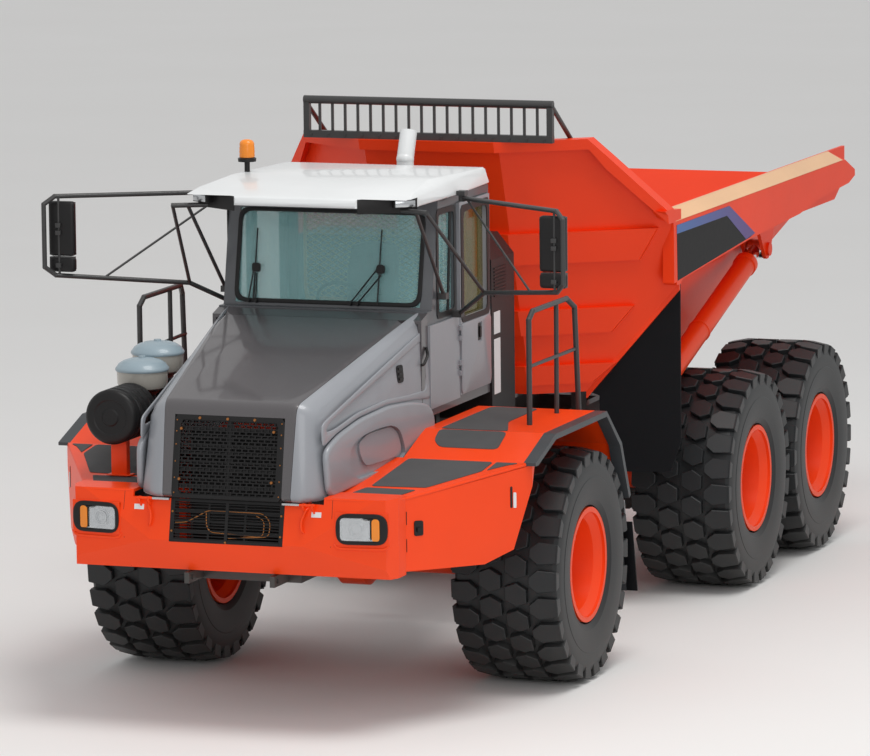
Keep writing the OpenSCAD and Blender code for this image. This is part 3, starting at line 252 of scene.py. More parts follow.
# %% Finishes on the carried pieces
SPOTS = ("fl", "fr", "ml", "mr", "rl", "rr")
finishes = {
    charcoal: ["front_frame", "tow_tabs", "hitch_frame", "cab_platform", "hitch_yoke", "rear_frame",
               "walking_beams", "mirrors", "handrails", "bin_rack", "engine_block"],
    orange: ["front_axle", "mid_axle", "rear_axle", "bumper", "decks", "fenders", "hoist_barrels",
             "steer_barrel_l", "steer_barrel_r"] + ["rim_" + spot for spot in SPOTS],
    bin_orange: ["bin"],
    chrome: ["steer_rod_l", "steer_rod_r", "hoist_rods", "front_struts"],
    black_plastic: ["radiator", "lower_grille", "air_cleaner", "rear_cowl", "hood_grille", "dash",
                    "head_lamps"],
    lip_rubber: ["fender_lips"],
    flap_rubber: ["bin_flaps"],
    hood_dark: ["hood_top", "cowl"],
    hood_light: ["hood_sides", "cab_door", "cab_panels"],
    cab_grey: ["cab_shell"],
    white_paint: ["cab_roof", "exhaust"],
    lens_amber: ["beacon"],
    teal_glass: ["cab_glass"],
    olive_glass: ["door_glass"],
    seat_cloth: ["seat"],
    tyre_rubber: ["tyre_" + spot for spot in SPOTS],
}
for finish, names in finishes.items():
    for name in names:
        slots = node[name].data.materials
        slots.clear()
        slots.append(finish)
print("finished:", sum(map(len, finishes.values())), "of", len(node))

# %% [markdown]
# The camera was fitted to the six wheels: it is far away and higher than the roof, and
# looks slightly down through a long lens, so the truck hardly tapers. Its three directions
# are worked out from turn, dip and roll, and become the columns of its matrix.

# %% Camera
FOCAL_PIXELS, IMAGE_WIDTH, SENSOR = 6109.5, 870, 36.0
lens = bpy.data.cameras.new("camera")
camera = bpy.data.objects.new("camera", lens)
scene.collection.objects.link(camera)
scene.camera = camera
turn, dip, roll = radians(19.94), radians(8.03), radians(-0.63)
ahead = Vector((-sin(turn) * cos(dip), cos(turn) * cos(dip), -sin(dip)))
right = Vector((cos(turn), sin(turn), 0))
up = right.cross(ahead)
right, up = right * cos(roll) + up * sin(roll), up * cos(roll) - right * sin(roll)
pose = Matrix((right, up, -ahead)).transposed().to_4x4()
pose.translation = (17.14, -48.16, 9.195)
camera.matrix_world = pose
lens.sensor_width, lens.lens = SENSOR, FOCAL_PIXELS / IMAGE_WIDTH * SENSOR
lens.clip_end = 200
print("camera lens:", round(lens.lens, 1))

# %% [markdown]
# A pale studio: one floor, a soft overhead light, a softer one from the front, and an even
# surround. The surround is white where the camera or glass sees it, and dimmer where it
# lights the truck, so that pale paint doesn't clip.

# %% Lights and surround
def area_light(name, place, target, size, power, colour=(1, 1, 1)):
    lamp = bpy.data.lights.new(name, "AREA")
    lamp.shape, lamp.size, lamp.energy, lamp.color = "DISK", size, power, colour
    holder = bpy.data.objects.new(name, lamp)
    holder.location = place
    holder.rotation_euler = (Vector(target) - Vector(place)).to_track_quat("-Z", "Y").to_euler()
    scene.collection.objects.link(holder)


area_light("overhead", (5, -6, 17), (0, 0, 1), 8, 1300, (1, 0.985, 0.96))
area_light("front_fill", (9, -20, 8), (0, 0, 1.5), 9, 420)
SURROUND_LIGHT, SURROUND_SEEN = 0.66, 1.0
world = bpy.data.worlds.new("surround")
scene.world = world
world.use_nodes = True
sky = world.node_tree
sky.nodes.clear()
rays, seen, strength, air, end = (sky.nodes.new("ShaderNode" + kind) for kind in
                                  ("LightPath", "Math", "MapRange", "Background", "OutputWorld"))
seen.operation = "MAXIMUM"
strength.inputs["To Min"].default_value = SURROUND_LIGHT
strength.inputs["To Max"].default_value = SURROUND_SEEN
air.inputs["Color"].default_value = (1, 1, 1, 1)
for start, target in ((rays.outputs["Is Camera Ray"], seen.inputs[0]),
                      (rays.outputs["Is Transmission Ray"], seen.inputs[1]),
                      (seen.outputs[0], strength.inputs["Value"]),
                      (strength.outputs[0], air.inputs["Strength"]),
                      (air.outputs[0], end.inputs["Surface"])):
    sky.links.new(start, target)
scene.view_settings.view_transform = "Standard"
print("lights:", len(bpy.data.lights))

# %% Floor
FLOOR_HALF = 400
floor_bm = bmesh.new()
bmesh.ops.create_grid(floor_bm, x_segments=1, y_segments=1, size=FLOOR_HALF)
bmesh.ops.translate(floor_bm, verts=floor_bm.verts, vec=(0, 0, -0.001))
floor_mesh = bpy.data.meshes.new("floor")
floor_bm.to_mesh(floor_mesh)
floor_bm.free()
floor = bpy.data.objects.new("floor", floor_mesh)
scene.collection.objects.link(floor)
ground = Bench("pale_floor")
tone = ground.mix(ground.noise(3.0, 3), (0.83, 0.825, 0.815), (0.86, 0.855, 0.85))
floor_mesh.materials.append(ground.finish(Base_Color=tone, Roughness=0.9))
print("floor half width:", FLOOR_HALF)

# %% [markdown]
# Most trim is made of a few simple moves: a block, a bar between two points, an outline
# given a thickness, and a profile spun round a shaft. Each move adds its shape to one
# bmesh, so a piece can be made of many of them and still be a single object.

# %% Moves of the workshop
def is_vert(part):
    return isinstance(part, bmesh.types.BMVert)


def everything(bm):
    return list(bm.verts) + list(bm.edges) + list(bm.faces)


def block(bm, low, high):
    low, high = Vector(low), Vector(high)
    made = bmesh.ops.create_cube(bm, size=1)["verts"]
    bmesh.ops.scale(bm, verts=made, vec=high - low)
    bmesh.ops.translate(bm, verts=made, vec=(low + high) / 2)


def bar(bm, start, end, radius, sides=12, end_radius=None):
    start, end = Vector(start), Vector(end)
    along = end - start
    far = radius if end_radius is None else end_radius
    made = bmesh.ops.create_cone(bm, cap_ends=True, segments=sides, radius1=radius, radius2=far,
                                 depth=along.length)["verts"]
    bmesh.ops.rotate(bm, verts=made, cent=(0, 0, 0), matrix=along.to_track_quat("Z", "Y").to_matrix())
    bmesh.ops.translate(bm, verts=made, vec=(start + end) / 2)


def bolt(bm, centre, outward, radius, height, sides=8):
    centre, outward = Vector(centre), Vector(outward).normalized()
    bar(bm, centre, centre + outward * height, radius, sides, radius * 0.8)


def plate(bm, outline, thickness):
    face = bm.faces.new([bm.verts.new(p) for p in outline])
    grown = bmesh.ops.extrude_face_region(bm, geom=[face])["geom"]
    bmesh.ops.translate(bm, verts=[g for g in grown if is_vert(g)], vec=thickness)


def spun(bm, profile, centre, axis, steps):
    ring = [bm.verts.new(Vector(p)) for p in profile]
    edges = [bm.edges.new(pair) for pair in zip(ring, ring[1:])]
    bmesh.ops.spin(bm, geom=ring + edges, cent=centre, axis=axis, angle=2 * pi, steps=steps, use_merge=True,
                   dvec=(0, 0, 0))


def turned(bm, centre, profile, steps):
    """A profile of (radius, height) spun round an upright shaft."""
    x, y, z = centre
    spun(bm, [(x + r, y, h) for r, h in profile], centre, (0, 0, 1), steps)


def bevel_all(bm, width, segments=2, least=25):
    sharp = [e for e in bm.edges if len(e.link_faces) == 2 and e.calc_face_angle(0) > radians(least)]
    bmesh.ops.bevel(bm, geom=sharp, offset=width, affect="EDGES", segments=segments, profile=0.5, material=-1,
                    clamp_overlap=True)


def slice_at(bm, place, normal, **cleared):
    bmesh.ops.bisect_plane(bm, geom=everything(bm), plane_co=place, plane_no=normal, **cleared)


def pour(source, target):
    """Adds one bmesh to another and empties it."""
    mesh = bpy.data.meshes.new("poured")
    source.to_mesh(mesh)
    source.free()
    target.from_mesh(mesh)
    bpy.data.meshes.remove(mesh)


def mirror_copy(bm):
    doubled = bmesh.ops.duplicate(bm, geom=everything(bm))["geom"]
    bmesh.ops.scale(bm, verts=[g for g in doubled if is_vert(g)], vec=(-1, 1, 1))
    bmesh.ops.reverse_faces(bm, faces=[g for g in doubled if isinstance(g, bmesh.types.BMFace)])


print("moves ready")

# %% [markdown]
# The last move turns a bmesh into a named piece that rides on its body. Its doubles are
# merged and its normals worked out again first, because spins and mirrored copies can leave
# a shape inside out. Faces that meet at less than the given angle are shaded smooth.

# %% Pieces
def piece(name, bm, finish, body, slot, smooth, replaces=()):
    bmesh.ops.remove_doubles(bm, verts=bm.verts, dist=1e-5)
    bmesh.ops.recalc_face_normals(bm, faces=bm.faces)
    mesh = bpy.data.meshes.new(name)
    bm.to_mesh(mesh)
    bm.free()
    mesh.materials.append(finish)
    if smooth:
        mesh.shade_smooth()
        mesh.set_sharp_from_angle(angle=radians(smooth))
    made = bpy.data.objects.new(name, mesh)
    scene.collection.objects.link(made)
    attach(made, body)
    if replaces:
        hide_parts(*replaces)
    print(name, "on", body, "faces:", len(mesh.polygons))
    return made


print("pieces can be made")

# %% [markdown]
# The tyres are the truck's face as much as its cab. Each has a bulging wall with rings, and
# a tread of deep blocks in four rows: home-plate shapes on the shoulders, bent hexagons in
# the middle, half a step apart. Cutting grooves into a solid would be slow and fragile, so
# one step of the tread is modelled flat, bent onto the wheel, and spun into a full ring.

# %% One step of the tread
WHEEL_X, WHEEL_Z = 1.55, 0.935
TYRE_R, TREAD_STEPS, GROOVE, SUNK = 0.9345, 26, 0.052, 0.012
STEP = 2 * pi * TYRE_R / TREAD_STEPS
SHOULDER = [(0.432, -0.083), (0.432, 0.078), (0.285, 0.090), (0.212, 0.030), (0.212, -0.040), (0.285, -0.096)]
CENTRE = [(0.196, -0.066), (0.196, 0.046), (0.110, 0.100), (0.014, 0.066), (0.014, -0.046), (0.110, -0.100)]


def tread_block(bm, outline, top_drop=0.0):
    """A block of the tread, drawn flat as (across, along), raised, eased and bent onto the wheel."""
    small = bmesh.new()
    plate(small, [(x, s, 0) for x, s in outline], (0, 0, GROOVE + SUNK))
    middle = sum(x for x, s in outline) / len(outline)
    for v in small.verts:
        if v.co.z > 0.01:
            v.co.x = middle + (v.co.x - middle) * 0.965
            v.co.y *= 0.96
            v.co.z -= max(0.0, abs(v.co.x) - 0.33) * top_drop
    top_edges = [e for e in small.edges if all(v.co.z > 0.01 for v in e.verts)]
    bmesh.ops.bevel(small, geom=top_edges, offset=0.005, affect="EDGES", segments=1, profile=0.5, material=-1)
    for v in small.verts:
        angle, reach = v.co.y / TYRE_R, TYRE_R - GROOVE - SUNK + v.co.z
        v.co = (v.co.x, reach * sin(angle), reach * cos(angle))
    pour(small, bm)


def block_root(bm, side, shift):
    """The root of a shoulder block, which runs down the wall."""
    root = bmesh.new()
    block(root, (0.405, -0.076, 0.765), (0.4385, 0.070, 0.905))
    for v in root.verts:
        if v.co.z < 0.8:
            v.co.x -= 0.012
            v.co.y *= 0.82
    bevel_all(root, 0.007, 1)
    for v in root.verts:
        angle = (v.co.y * side + shift) / 0.85
        v.co = (v.co.x * side, v.co.z * sin(angle), v.co.z * cos(angle))
    pour(root, bm)


print("length of one tread step:", round(STEP, 3))

# %% Whole tyres
WALL = [(0.36, 0.463), (0.398, 0.476), (0.424, 0.52), (0.436, 0.60), (0.4395, 0.665), (0.4395, 0.70),
        (0.436, 0.705), (0.436, 0.75), (0.432, 0.80), (0.420, 0.845), (0.392, 0.872), (0.33, 0.880),
        (0.15, 0.884), (0.0, 0.885)]
BEAD = [(-0.33, 0, 0.44), (-0.30, 0, 0.50), (0.30, 0, 0.50), (0.33, 0, 0.44)]
AXLE_Y = {"f": -2.770, "m": 1.808, "r": 3.762}
wheels = {spot: (WHEEL_X if spot[1] == "l" else -WHEEL_X, AXLE_Y[spot[0]]) for spot in SPOTS}


def tyre_mesh():
    bm = bmesh.new()
    for side in SIDES:
        shift = 0 if side > 0 else STEP / 2
        tread_block(bm, [(x * side, s * side + shift) for x, s in SHOULDER], 0.30)
        tread_block(bm, [(x * side, s * side + shift + STEP / 2) for x, s in CENTRE])
        block_root(bm, side, shift)
    bmesh.ops.spin(bm, geom=everything(bm), cent=(0, 0, 0), axis=(1, 0, 0), steps=TREAD_STEPS - 1,
                   angle=2 * pi * (TREAD_STEPS - 1) / TREAD_STEPS, use_duplicate=True, dvec=(0, 0, 0))
    carcass = bmesh.new()
    outline = [(x, 0, r) for x, r in WALL] + [(-x, 0, r) for x, r in reversed(WALL[:-1])]
    spun(carcass, outline + BEAD + outline[:1], (0, 0, 0), (1, 0, 0), 104)
    pour(carcass, bm)
    return bm


for spot, (x, y) in wheels.items():
    bm = tyre_mesh()
    if x < 0:
        bmesh.ops.rotate(bm, verts=bm.verts, cent=(0, 0, 0), matrix=Matrix.Rotation(pi, 3, "Z"))
    bmesh.ops.rotate(bm, verts=bm.verts, cent=(0, 0, 0), matrix=Matrix.Rotation(0.11 * (y + x), 3, "X"))
    bmesh.ops.translate(bm, verts=bm.verts, vec=(x, y, WHEEL_Z))
    piece("tyre_dressed_" + spot, bm, tyre_rubber, "wheel_" + spot, "tyre", 22, replaces=("tyre_" + spot,))

# %% [markdown]
# A rim shows its hub and two rings of nuts, set deep in the dish. The construction model
# has rim and hub, so only the nuts are added, each a six-sided bar on the face it clamps.

# %% Wheel nuts
OUTER_NUTS, INNER_NUTS = (20, 0.285, 0.088, 0.034, 0.018), (12, 0.165, 0.196, 0.014, 0.012)
for spot, (x, y) in wheels.items():
    side = 1 if x > 0 else -1
    bm = bmesh.new()
    for count, ring, seat, length, size in (OUTER_NUTS, INNER_NUTS):
        for i in range(count):
            angle = 2 * pi * i / count
            where = (x + side * seat, y + ring * cos(angle), WHEEL_Z + ring * sin(angle))
            bar(bm, where, (where[0] + side * length, where[1], where[2]), size, 6)
    piece("wheel_nuts_" + spot, bm, orange, "wheel_" + spot, "orange_paint", 30)

# %% [markdown]
# Trim is drawn as outlines. More helpers round an outline's corners, bend a tube along a
# path, fill the ring between two outlines, wrap points in a convex skin, and cut one solid
# out of another. The cut is a Boolean that is applied at once, so nothing stays live.

# %% Outlines, tubes, rings and cuts
def rounded(path, reach):
    """The corners of a path turned into short curves that start reach away from each corner."""
    points = [Vector(p) for p in path]
    smooth = [points[0]]
    for before, corner, after in zip(points, points[1:], points[2:]):
        a = corner + (before - corner).normalized() * min(reach, (before - corner).length * 0.45)
        c = corner + (after - corner).normalized() * min(reach, (after - corner).length * 0.45)
        smooth += [a.lerp(corner, t).lerp(corner.lerp(c, t), t) for t in (i / 5 for i in range(6))]
    return smooth + [points[-1]]


def closed_loop(corners, reach, count):
    """A closed outline with rounded corners, as evenly spaced points."""
    corners = [Vector(p) for p in corners]
    first = (corners[0] + corners[1]) / 2
    path = rounded([first] + corners[1:] + corners[:1] + [first], reach)
    lengths = [0.0]
    for a, b in zip(path, path[1:]):
        lengths.append(lengths[-1] + (b - a).length)
    points, k = [], 0
    for i in range(count):
        want = lengths[-1] * i / count
        while lengths[k + 1] < want:
            k += 1
        share = (want - lengths[k]) / max(1e-9, lengths[k + 1] - lengths[k])
        points.append(path[k].lerp(path[k + 1], share))
    return points


def tube(bm, path, reach, radius, fineness=2):
    """A round tube along a path with rounded corners, drawn as a curve and added to the bmesh."""
    path = rounded(path, reach)
    curve = bpy.data.curves.new("path", "CURVE")
    curve.dimensions, curve.bevel_depth, curve.bevel_resolution = "3D", radius, fineness
    curve.use_fill_caps = True
    spline = curve.splines.new("POLY")
    spline.points.add(len(path) - 1)
    for point, where in zip(spline.points, path):
        point.co = (*where, 1)
    holder = bpy.data.objects.new("path", curve)
    mesh = bpy.data.meshes.new_from_object(holder)
    bm.from_mesh(mesh)
    bpy.data.objects.remove(holder)
    bpy.data.curves.remove(curve)
    bpy.data.meshes.remove(mesh)


def ring_plate(bm, outer, inner, thickness):
    """A flat frame between two outlines of as many points, given a thickness."""
    a, b = [bm.verts.new(p) for p in outer], [bm.verts.new(p) for p in inner]
    edges = [bm.edges.new((loop[i - 1], loop[i])) for loop in (a, b) for i in range(len(loop))]
    faces = bmesh.ops.bridge_loops(bm, edges=edges)["faces"]
    grown = bmesh.ops.extrude_face_region(bm, geom=faces)["geom"]
    bmesh.ops.translate(bm, verts=[g for g in grown if is_vert(g)], vec=thickness)


def hull(bm, corners):
    made = bmesh.ops.convex_hull(bm, input=[bm.verts.new(p) for p in corners])
    bmesh.ops.delete(bm, geom=[g for g in made["geom_interior"] if is_vert(g)], context="VERTS")
    bmesh.ops.dissolve_limit(bm, angle_limit=radians(1), verts=bm.verts, edges=bm.edges)


def both_sides(points):
    return points + [(-x, y, z) for x, y, z in points]


def as_object(bm, name):
    mesh = bpy.data.meshes.new(name)
    bmesh.ops.recalc_face_normals(bm, faces=bm.faces)
    bm.to_mesh(mesh)
    bm.free()
    made = bpy.data.objects.new(name, mesh)
    scene.collection.objects.link(made)
    return made


def carved(bm, cutter):
    """The first solid with the second cut out of it."""
    solid, knife = as_object(bm, "solid"), as_object(cutter, "knife")
    cut = solid.modifiers.new("cut", "BOOLEAN")
    cut.operation, cut.object, cut.solver = "DIFFERENCE", knife, "EXACT"
    shape = solid.evaluated_get(bpy.context.evaluated_depsgraph_get())
    result = bmesh.new()
    result.from_mesh(shape.data)
    for one in (solid, knife):
        mesh = one.data
        bpy.data.objects.remove(one)
        bpy.data.meshes.remove(mesh)
    return result


print("outlines ready")

# %% [markdown]
# Much of the trim lies on sloping panels. A panel's own frame of directions turns distances
# along it, up it and out of it into a place on the truck, so that an outline can be drawn
# flat, as on paper, and still sit on the slope.

# %% Drawing on a panel
def panel_frame(origin, along, upward):
    """Turns (along, up, out) of a sloping panel into a place on the truck."""
    origin, along = Vector(origin), Vector(along).normalized()
    upward = (Vector(upward) - along * along.dot(Vector(upward))).normalized()
    outward = along.cross(upward)
    return lambda a, u, o=0.0: origin + along * a + upward * u + outward * o


def upright(y):
    return panel_frame((0, y, 0), (1, 0, 0), (0, 0, 1))


def corners(a0, a1, u0, u1):
    return [(a0, u0), (a1, u0), (a1, u1), (a0, u1)]


def rise(place, height):
    return place(0, 0, height) - place(0, 0, 0)


def outline_on(place, points, reach, count, lift=0.0):
    return closed_loop([place(a, u, lift) for a, u in points], reach, count)


def sheet_at(bm, place, points, thick, lift=0.0, reach=0.0, count=0):
    """A flat sheet on a panel, with rounded corners where a count of points is given."""
    outline = [place(a, u, lift) for a, u in points]
    plate(bm, closed_loop(outline, reach, count) if count else outline, rise(place, thick))


print("panels ready")

# %% [markdown]
# The hood is pressed from sheet: a convex body with soft edges, a dark top and light sides.
# Both come from one convex skin with rounded edges, cut along two upright planes that
# spread towards the cab, so the halves meet in a thin, even seam. The light sides run
# further back, over the cab's flank to the door. A wall thickness is given last.

# %% Hood panels
NOSE_CORNERS = [(0.610, -5.606, 1.805), (0.560, -5.475, 2.537), (0.750, -5.480, 1.800),
                (0.700, -5.390, 2.440)]
HOOD_BACK = {"dark": -3.69, "light": -3.405}
HOOD_SHEET, SEAM_HALF, GRILLE_HALF, GRILLE_TOP = 0.018, 0.0015, 0.45, 2.436
DECK_SLOPE = 0.12037


def hood_shell(kind):
    bm = bmesh.new()
    dark = kind == "dark"
    back = HOOD_BACK[kind]
    far = (back + 3.69) / 1.80
    rear = [(0.780 + 0.22 * far, back, 2.987 + 0.45 * far), (0.850 + 0.18 * far, back, 2.870 + 0.45 * far),
            (0.880 + 0.177 * far, back, 1.930 + 0.2 * far)]
    hull(bm, both_sides(NOSE_CORNERS + rear))
    bevel_all(bm, 0.055, 5, 12)
    slice_at(bm, (0, -5.25, 1.842), Vector((0, -DECK_SLOPE, 1)).normalized(), clear_inner=True)
    slice_at(bm, (0, back - 0.056, 0), (0, 1, 0), clear_outer=True)
    planes = []
    for side in SIDES:
        normal = Vector((2.05, -0.270, 0)).normalized()
        normal.x *= side
        start = Vector((side * (0.515 - (SEAM_HALF if dark else -SEAM_HALF)), -5.65, 0))
        slice_at(bm, start, normal, clear_outer=dark)
        planes.append((start, normal))
    if dark:
        for place, normal in (((GRILLE_HALF, 0, 0), (1, 0, 0)), ((-GRILLE_HALF, 0, 0), (1, 0, 0)),
                              ((0, 0, GRILLE_TOP), (0, 0, 1))):
            slice_at(bm, place, normal)
        middles = {f: f.calc_center_median() for f in bm.faces}
        unwanted = [f for f, m in middles.items()
                    if abs(m.x) < GRILLE_HALF and m.z < GRILLE_TOP and m.y < -5.3]
    else:
        unwanted = [f for f in bm.faces if all((f.calc_center_median() - a).dot(n) < 0 for a, n in planes)]
    bmesh.ops.delete(bm, geom=unwanted, context="FACES")
    bmesh.ops.recalc_face_normals(bm, faces=bm.faces)
    middle = Vector((0, -4.6, 2.2))
    inward = sum(1 for f in bm.faces if f.normal.dot(f.calc_center_median() - middle) < 0)
    if inward > len(bm.faces) / 2:
        bmesh.ops.reverse_faces(bm, faces=bm.faces)
    bmesh.ops.solidify(bm, geom=list(bm.faces), thickness=HOOD_SHEET)
    return bm


piece("hood_top_dressed", hood_shell("dark"), hood_dark, "hood", "dark_paint", 32, replaces=("hood_top",))
piece("hood_sides_dressed", hood_shell("light"), hood_light, "hood", "light_paint", 32,
      replaces=("hood_sides",))
bm = bmesh.new()
for side in SIDES:
    bar(bm, (side * 0.462, -5.612, 1.797), (side * 0.600, -5.612, 1.797), 0.010, 14)
piece("hood_hinge_pins", bm, steel, "tractor", "steel", 30)

# %% [markdown]
# The flank carries a raised frame along its ridge and a broad bulge over the wheel deck,
# with an oval scoop sunk in it. Both are drawn on the flank's own plane, raised and rounded
# at their edges; the scoop is carved out of the bulge and given a floor of its own.

# %% Flank of the hood
flank = panel_frame((0.7525, -5.48, 1.86), (0.0722, 0.9939, 0.0833), (-0.0408, -0.0805, 0.9959))
BULGE = [(0.02, -0.035), (0.02, 0.34), (0.278, 0.405), (0.688, 0.440), (1.209, 0.425), (1.615, 0.365),
         (1.93, 0.285), (2.03, 0.173), (2.00, 0.006), (1.90, -0.085), (1.679, -0.10), (1.111, -0.075),
         (0.40, -0.045)]
SCOOP = [(0.40, 0.12), (0.453, 0.265), (0.627, 0.308), (0.923, 0.305), (1.217, 0.272), (1.36, 0.20),
         (1.42, 0.045), (1.41, -0.02), (1.077, -0.035), (0.782, -0.02), (0.525, -0.01)]
SCOOP_PLATE = [(0.63, 0.255), (0.81, 0.292), (1.216, 0.258), (1.35, 0.185), (1.395, 0.05), (1.36, 0.0),
               (1.093, 0.02), (0.728, 0.055), (0.65, 0.15)]
BORDER = [(0.035, 0.36), (0.045, 0.53), (0.134, 0.552), (1.0, 0.695), (1.87, 0.838), (2.03, 0.862),
          (2.035, 0.30), (1.615, 0.37), (1.209, 0.43), (0.688, 0.445), (0.278, 0.41)]
RECESS = [(0.105, 0.46), (0.125, 0.50), (0.20, 0.525), (1.0, 0.645), (1.80, 0.765), (1.97, 0.785),
          (1.985, 0.38), (1.615, 0.415), (1.209, 0.47), (0.688, 0.485), (0.278, 0.452)]
bm = bmesh.new()
ring_plate(bm, outline_on(flank, BORDER, 0.04, 120, -0.006), outline_on(flank, RECESS, 0.07, 120, -0.006),
           rise(flank, 0.016))
bevel_all(bm, 0.009, 3, 50)
bulge, hole = bmesh.new(), bmesh.new()
sheet_at(bulge, flank, BULGE, 0.052, -0.01, 0.10, 110)
bevel_all(bulge, 0.030, 5, 50)
sheet_at(hole, flank, SCOOP, 0.08, 0.004, 0.10, 80)
bulge = carved(bulge, hole)
bevel_all(bulge, 0.008, 3, 50)
pour(bulge, bm)
sheet_at(bm, flank, SCOOP_PLATE, 0.022, 0.0, 0.08, 60)
mirror_copy(bm)
piece("hood_flank_forms", bm, hood_light, "hood", "light_paint", 34)

# %% Latches of the hood
bm = bmesh.new()
sheet_at(bm, flank, [(1.455, 0.545), (1.455, 0.685), (1.565, 0.675), (1.565, 0.535)], 0.008, 0.0, 0.03, 32)
sheet_at(bm, flank, [(1.46, -0.09), (1.49, -0.03), (1.66, -0.04), (1.68, -0.09)], 0.008, 0.042)
for k in range(3):
    u = 0.565 + 0.04 * k
    sheet_at(bm, flank, [(1.475, u), (1.475, u + 0.02), (1.545, u + 0.015), (1.545, u - 0.005)], 0.006, 0.008)
GRIP = ((1.99, 0.72, 0.02), (1.99, 0.66, 0.035), (1.90, 0.60, 0.035), (1.88, 0.60, 0.02))
tube(bm, [flank(a, u, o) for a, u, o in GRIP], 0.03, 0.012)
mirror_copy(bm)
piece("hood_latches", bm, black_plastic, "hood", "black_plastic", 30)

# %% [markdown]
# The grille is a bolted frame round a punched plate: thin bars, and short webs between them
# that step sideways from row to row, like brickwork. Bars and webs are laid one by one,
# because a mesh picture would show no depth between them.

# %% Hood grille
nose = panel_frame((0, -5.594, 1.806), (1, 0, 0), (0, 0.113, 0.630))
NOSE_H, ROWS, WEBS = 0.640, 22, 15
pitch = (NOSE_H - 0.07) / ROWS
bm = bmesh.new()
ring_plate(bm, outline_on(nose, corners(-0.449, 0.449, 0.003, NOSE_H - 0.004), 0.015, 64),
           outline_on(nose, corners(-0.395, 0.395, 0.03, NOSE_H - 0.04), 0.02, 64), rise(nose, 0.014))
bevel_all(bm, 0.003, 2, 50)
for row in range(ROWS + 1):
    u = 0.03 + pitch * row
    sheet_at(bm, nose, corners(-0.40, 0.40, u - 0.004, u + 0.004), 0.007, 0.001)
    for k in range(WEBS if row < ROWS else 0):
        a = -0.38 + 0.0515 * k + (0.02575 if row % 2 else 0)
        sheet_at(bm, nose, corners(a - 0.006, a + 0.006, u, u + pitch), 0.005, 0.001)
piece("hood_grille_dressed", bm, black_plastic, "hood", "black_plastic", 30)
bm = bmesh.new()
for a, u in ((-0.243, 0.615), (-0.015, 0.615), (0.206, 0.615), (-0.391, 0.53), (0.365, 0.53), (-0.39, 0.145),
             (0.365, 0.145)):
    bolt(bm, nose(a, u, 0.012), rise(nose, 1), 0.013, 0.010, 12)
for u in (0.595, 0.51, 0.41, 0.28, 0.155, 0.04):
    for a in (-0.428, 0.428):
        bolt(bm, nose(a, u, 0.012), rise(nose, 1), 0.007, 0.006)
piece("hood_grille_bolts", bm, brass_tube, "hood", "steel", 30)

# %% [markdown]
# Under the hood's grille the bumper has its own: round bars across, and behind them the
# bent cooler pipes, which show as warm lines between the bars. The bumper's face leans and
# is swept back, so one function gives its depth at any height and width.

# %% Lower grille
def bumper_y(x, z):
    side_y = -5.63 + 0.08 * max(0.0, z - 1.48) / 0.37 if z > 1.48 else -5.63 + 0.13 * (1.48 - z) / 0.243
    plan_y = -5.63 + 0.09 * max(0.0, abs(x) - 0.62) / 0.65
    return max(side_y, plan_y)


def on_bumper(x, z, proud=0.0):
    return (x, bumper_y(x, z) - proud, z)


bm = bmesh.new()
for k in range(13):
    z = 1.500 + 0.022 * k
    bar(bm, on_bumper(-0.43, z, 0.001), on_bumper(0.43, z, 0.001), 0.004, 8)
for x0, x1, z0, z1 in ((-0.464, -0.43, 1.473, 1.797), (0.43, 0.464, 1.473, 1.797),
                       (-0.43, 0.43, 1.473, 1.495), (-0.43, 0.43, 1.776, 1.797),
                       (-0.012, 0.012, 1.495, 1.776)):
    plate(bm, [on_bumper(x, z, 0.004) for x, z in corners(x0, x1, z0, z1)], (0, 0.008, 0))
piece("lower_grille_bars", bm, black_plastic, "tractor", "black_plastic", 30)
PIPES = ([(-0.42, 1.615), (-0.33, 1.622), (-0.24, 1.67), (-0.157, 1.718), (0.29, 1.712), (0.355, 1.655),
          (0.35, 1.54), (0.02, 1.515)],
         [(-0.172, 1.703), (-0.165, 1.600), (-0.13, 1.554), (0.28, 1.535), (0.305, 1.56), (0.305, 1.66),
          (0.24, 1.69)])
bm = bmesh.new()
for path in PIPES:
    tube(bm, [on_bumper(x, z, -0.003) for x, z in path], 0.04, 0.0045)
piece("cooler_pipes", bm, brass_tube, "tractor", "steel", 40)
bm = bmesh.new()
for x, z in ((-0.445, 1.554), (0.445, 1.545), (0.0, 1.484), (-0.445, 1.70), (0.445, 1.70)):
    bolt(bm, on_bumper(x, z, 0.003), (0, -1, 0.1), 0.010, 0.007, 10)
piece("lower_grille_bolts", bm, brass_tube, "tractor", "steel", 30)

# %% Bumper trim
STEP_BAR = ((0.655, 1.765, -0.004), (0.645, 1.755, 0.022), (0.612, 1.67, 0.026), (0.618, 1.60, 0.022),
            (0.632, 1.585, -0.004))
SEAM_LINE = [(0.850, 1.849), (0.852, 1.70), (0.845, 1.48), (0.83, 1.245)]
# The seams are thin near-black strips on the bumper's face: painted shade of the gaps between its panels.
bars, plates, seams = bmesh.new(), bmesh.new(), bmesh.new()
for side in SIDES:
    tube(bars, [on_bumper(side * x, z, proud) for x, z, proud in STEP_BAR], 0.03, 0.010)
    blank = corners(0.685, 0.765, 1.702, 1.742)
    plate(plates, [on_bumper(side * x, z, 0.002) for x, z in blank], (0, 0.004, 0))
    for (xa, za), (xb, zb) in zip(SEAM_LINE, SEAM_LINE[1:]):
        strip = ((xa, za, -SEAM_HALF), (xa, za, SEAM_HALF), (xb, zb, SEAM_HALF), (xb, zb, -SEAM_HALF))
        plate(seams, [(side * (x + d), bumper_y(x, z) - 0.0006, z) for x, z, d in strip], (0, 0.002, 0))
piece("bumper_steps", bars, orange, "tractor", "orange_paint", 50)
piece("bumper_blank_plates", plates, white_paint, "tractor", "white_shell", 0)
piece("bumper_seams", seams, seam_shade_black, "tractor", "black_plastic", 0)

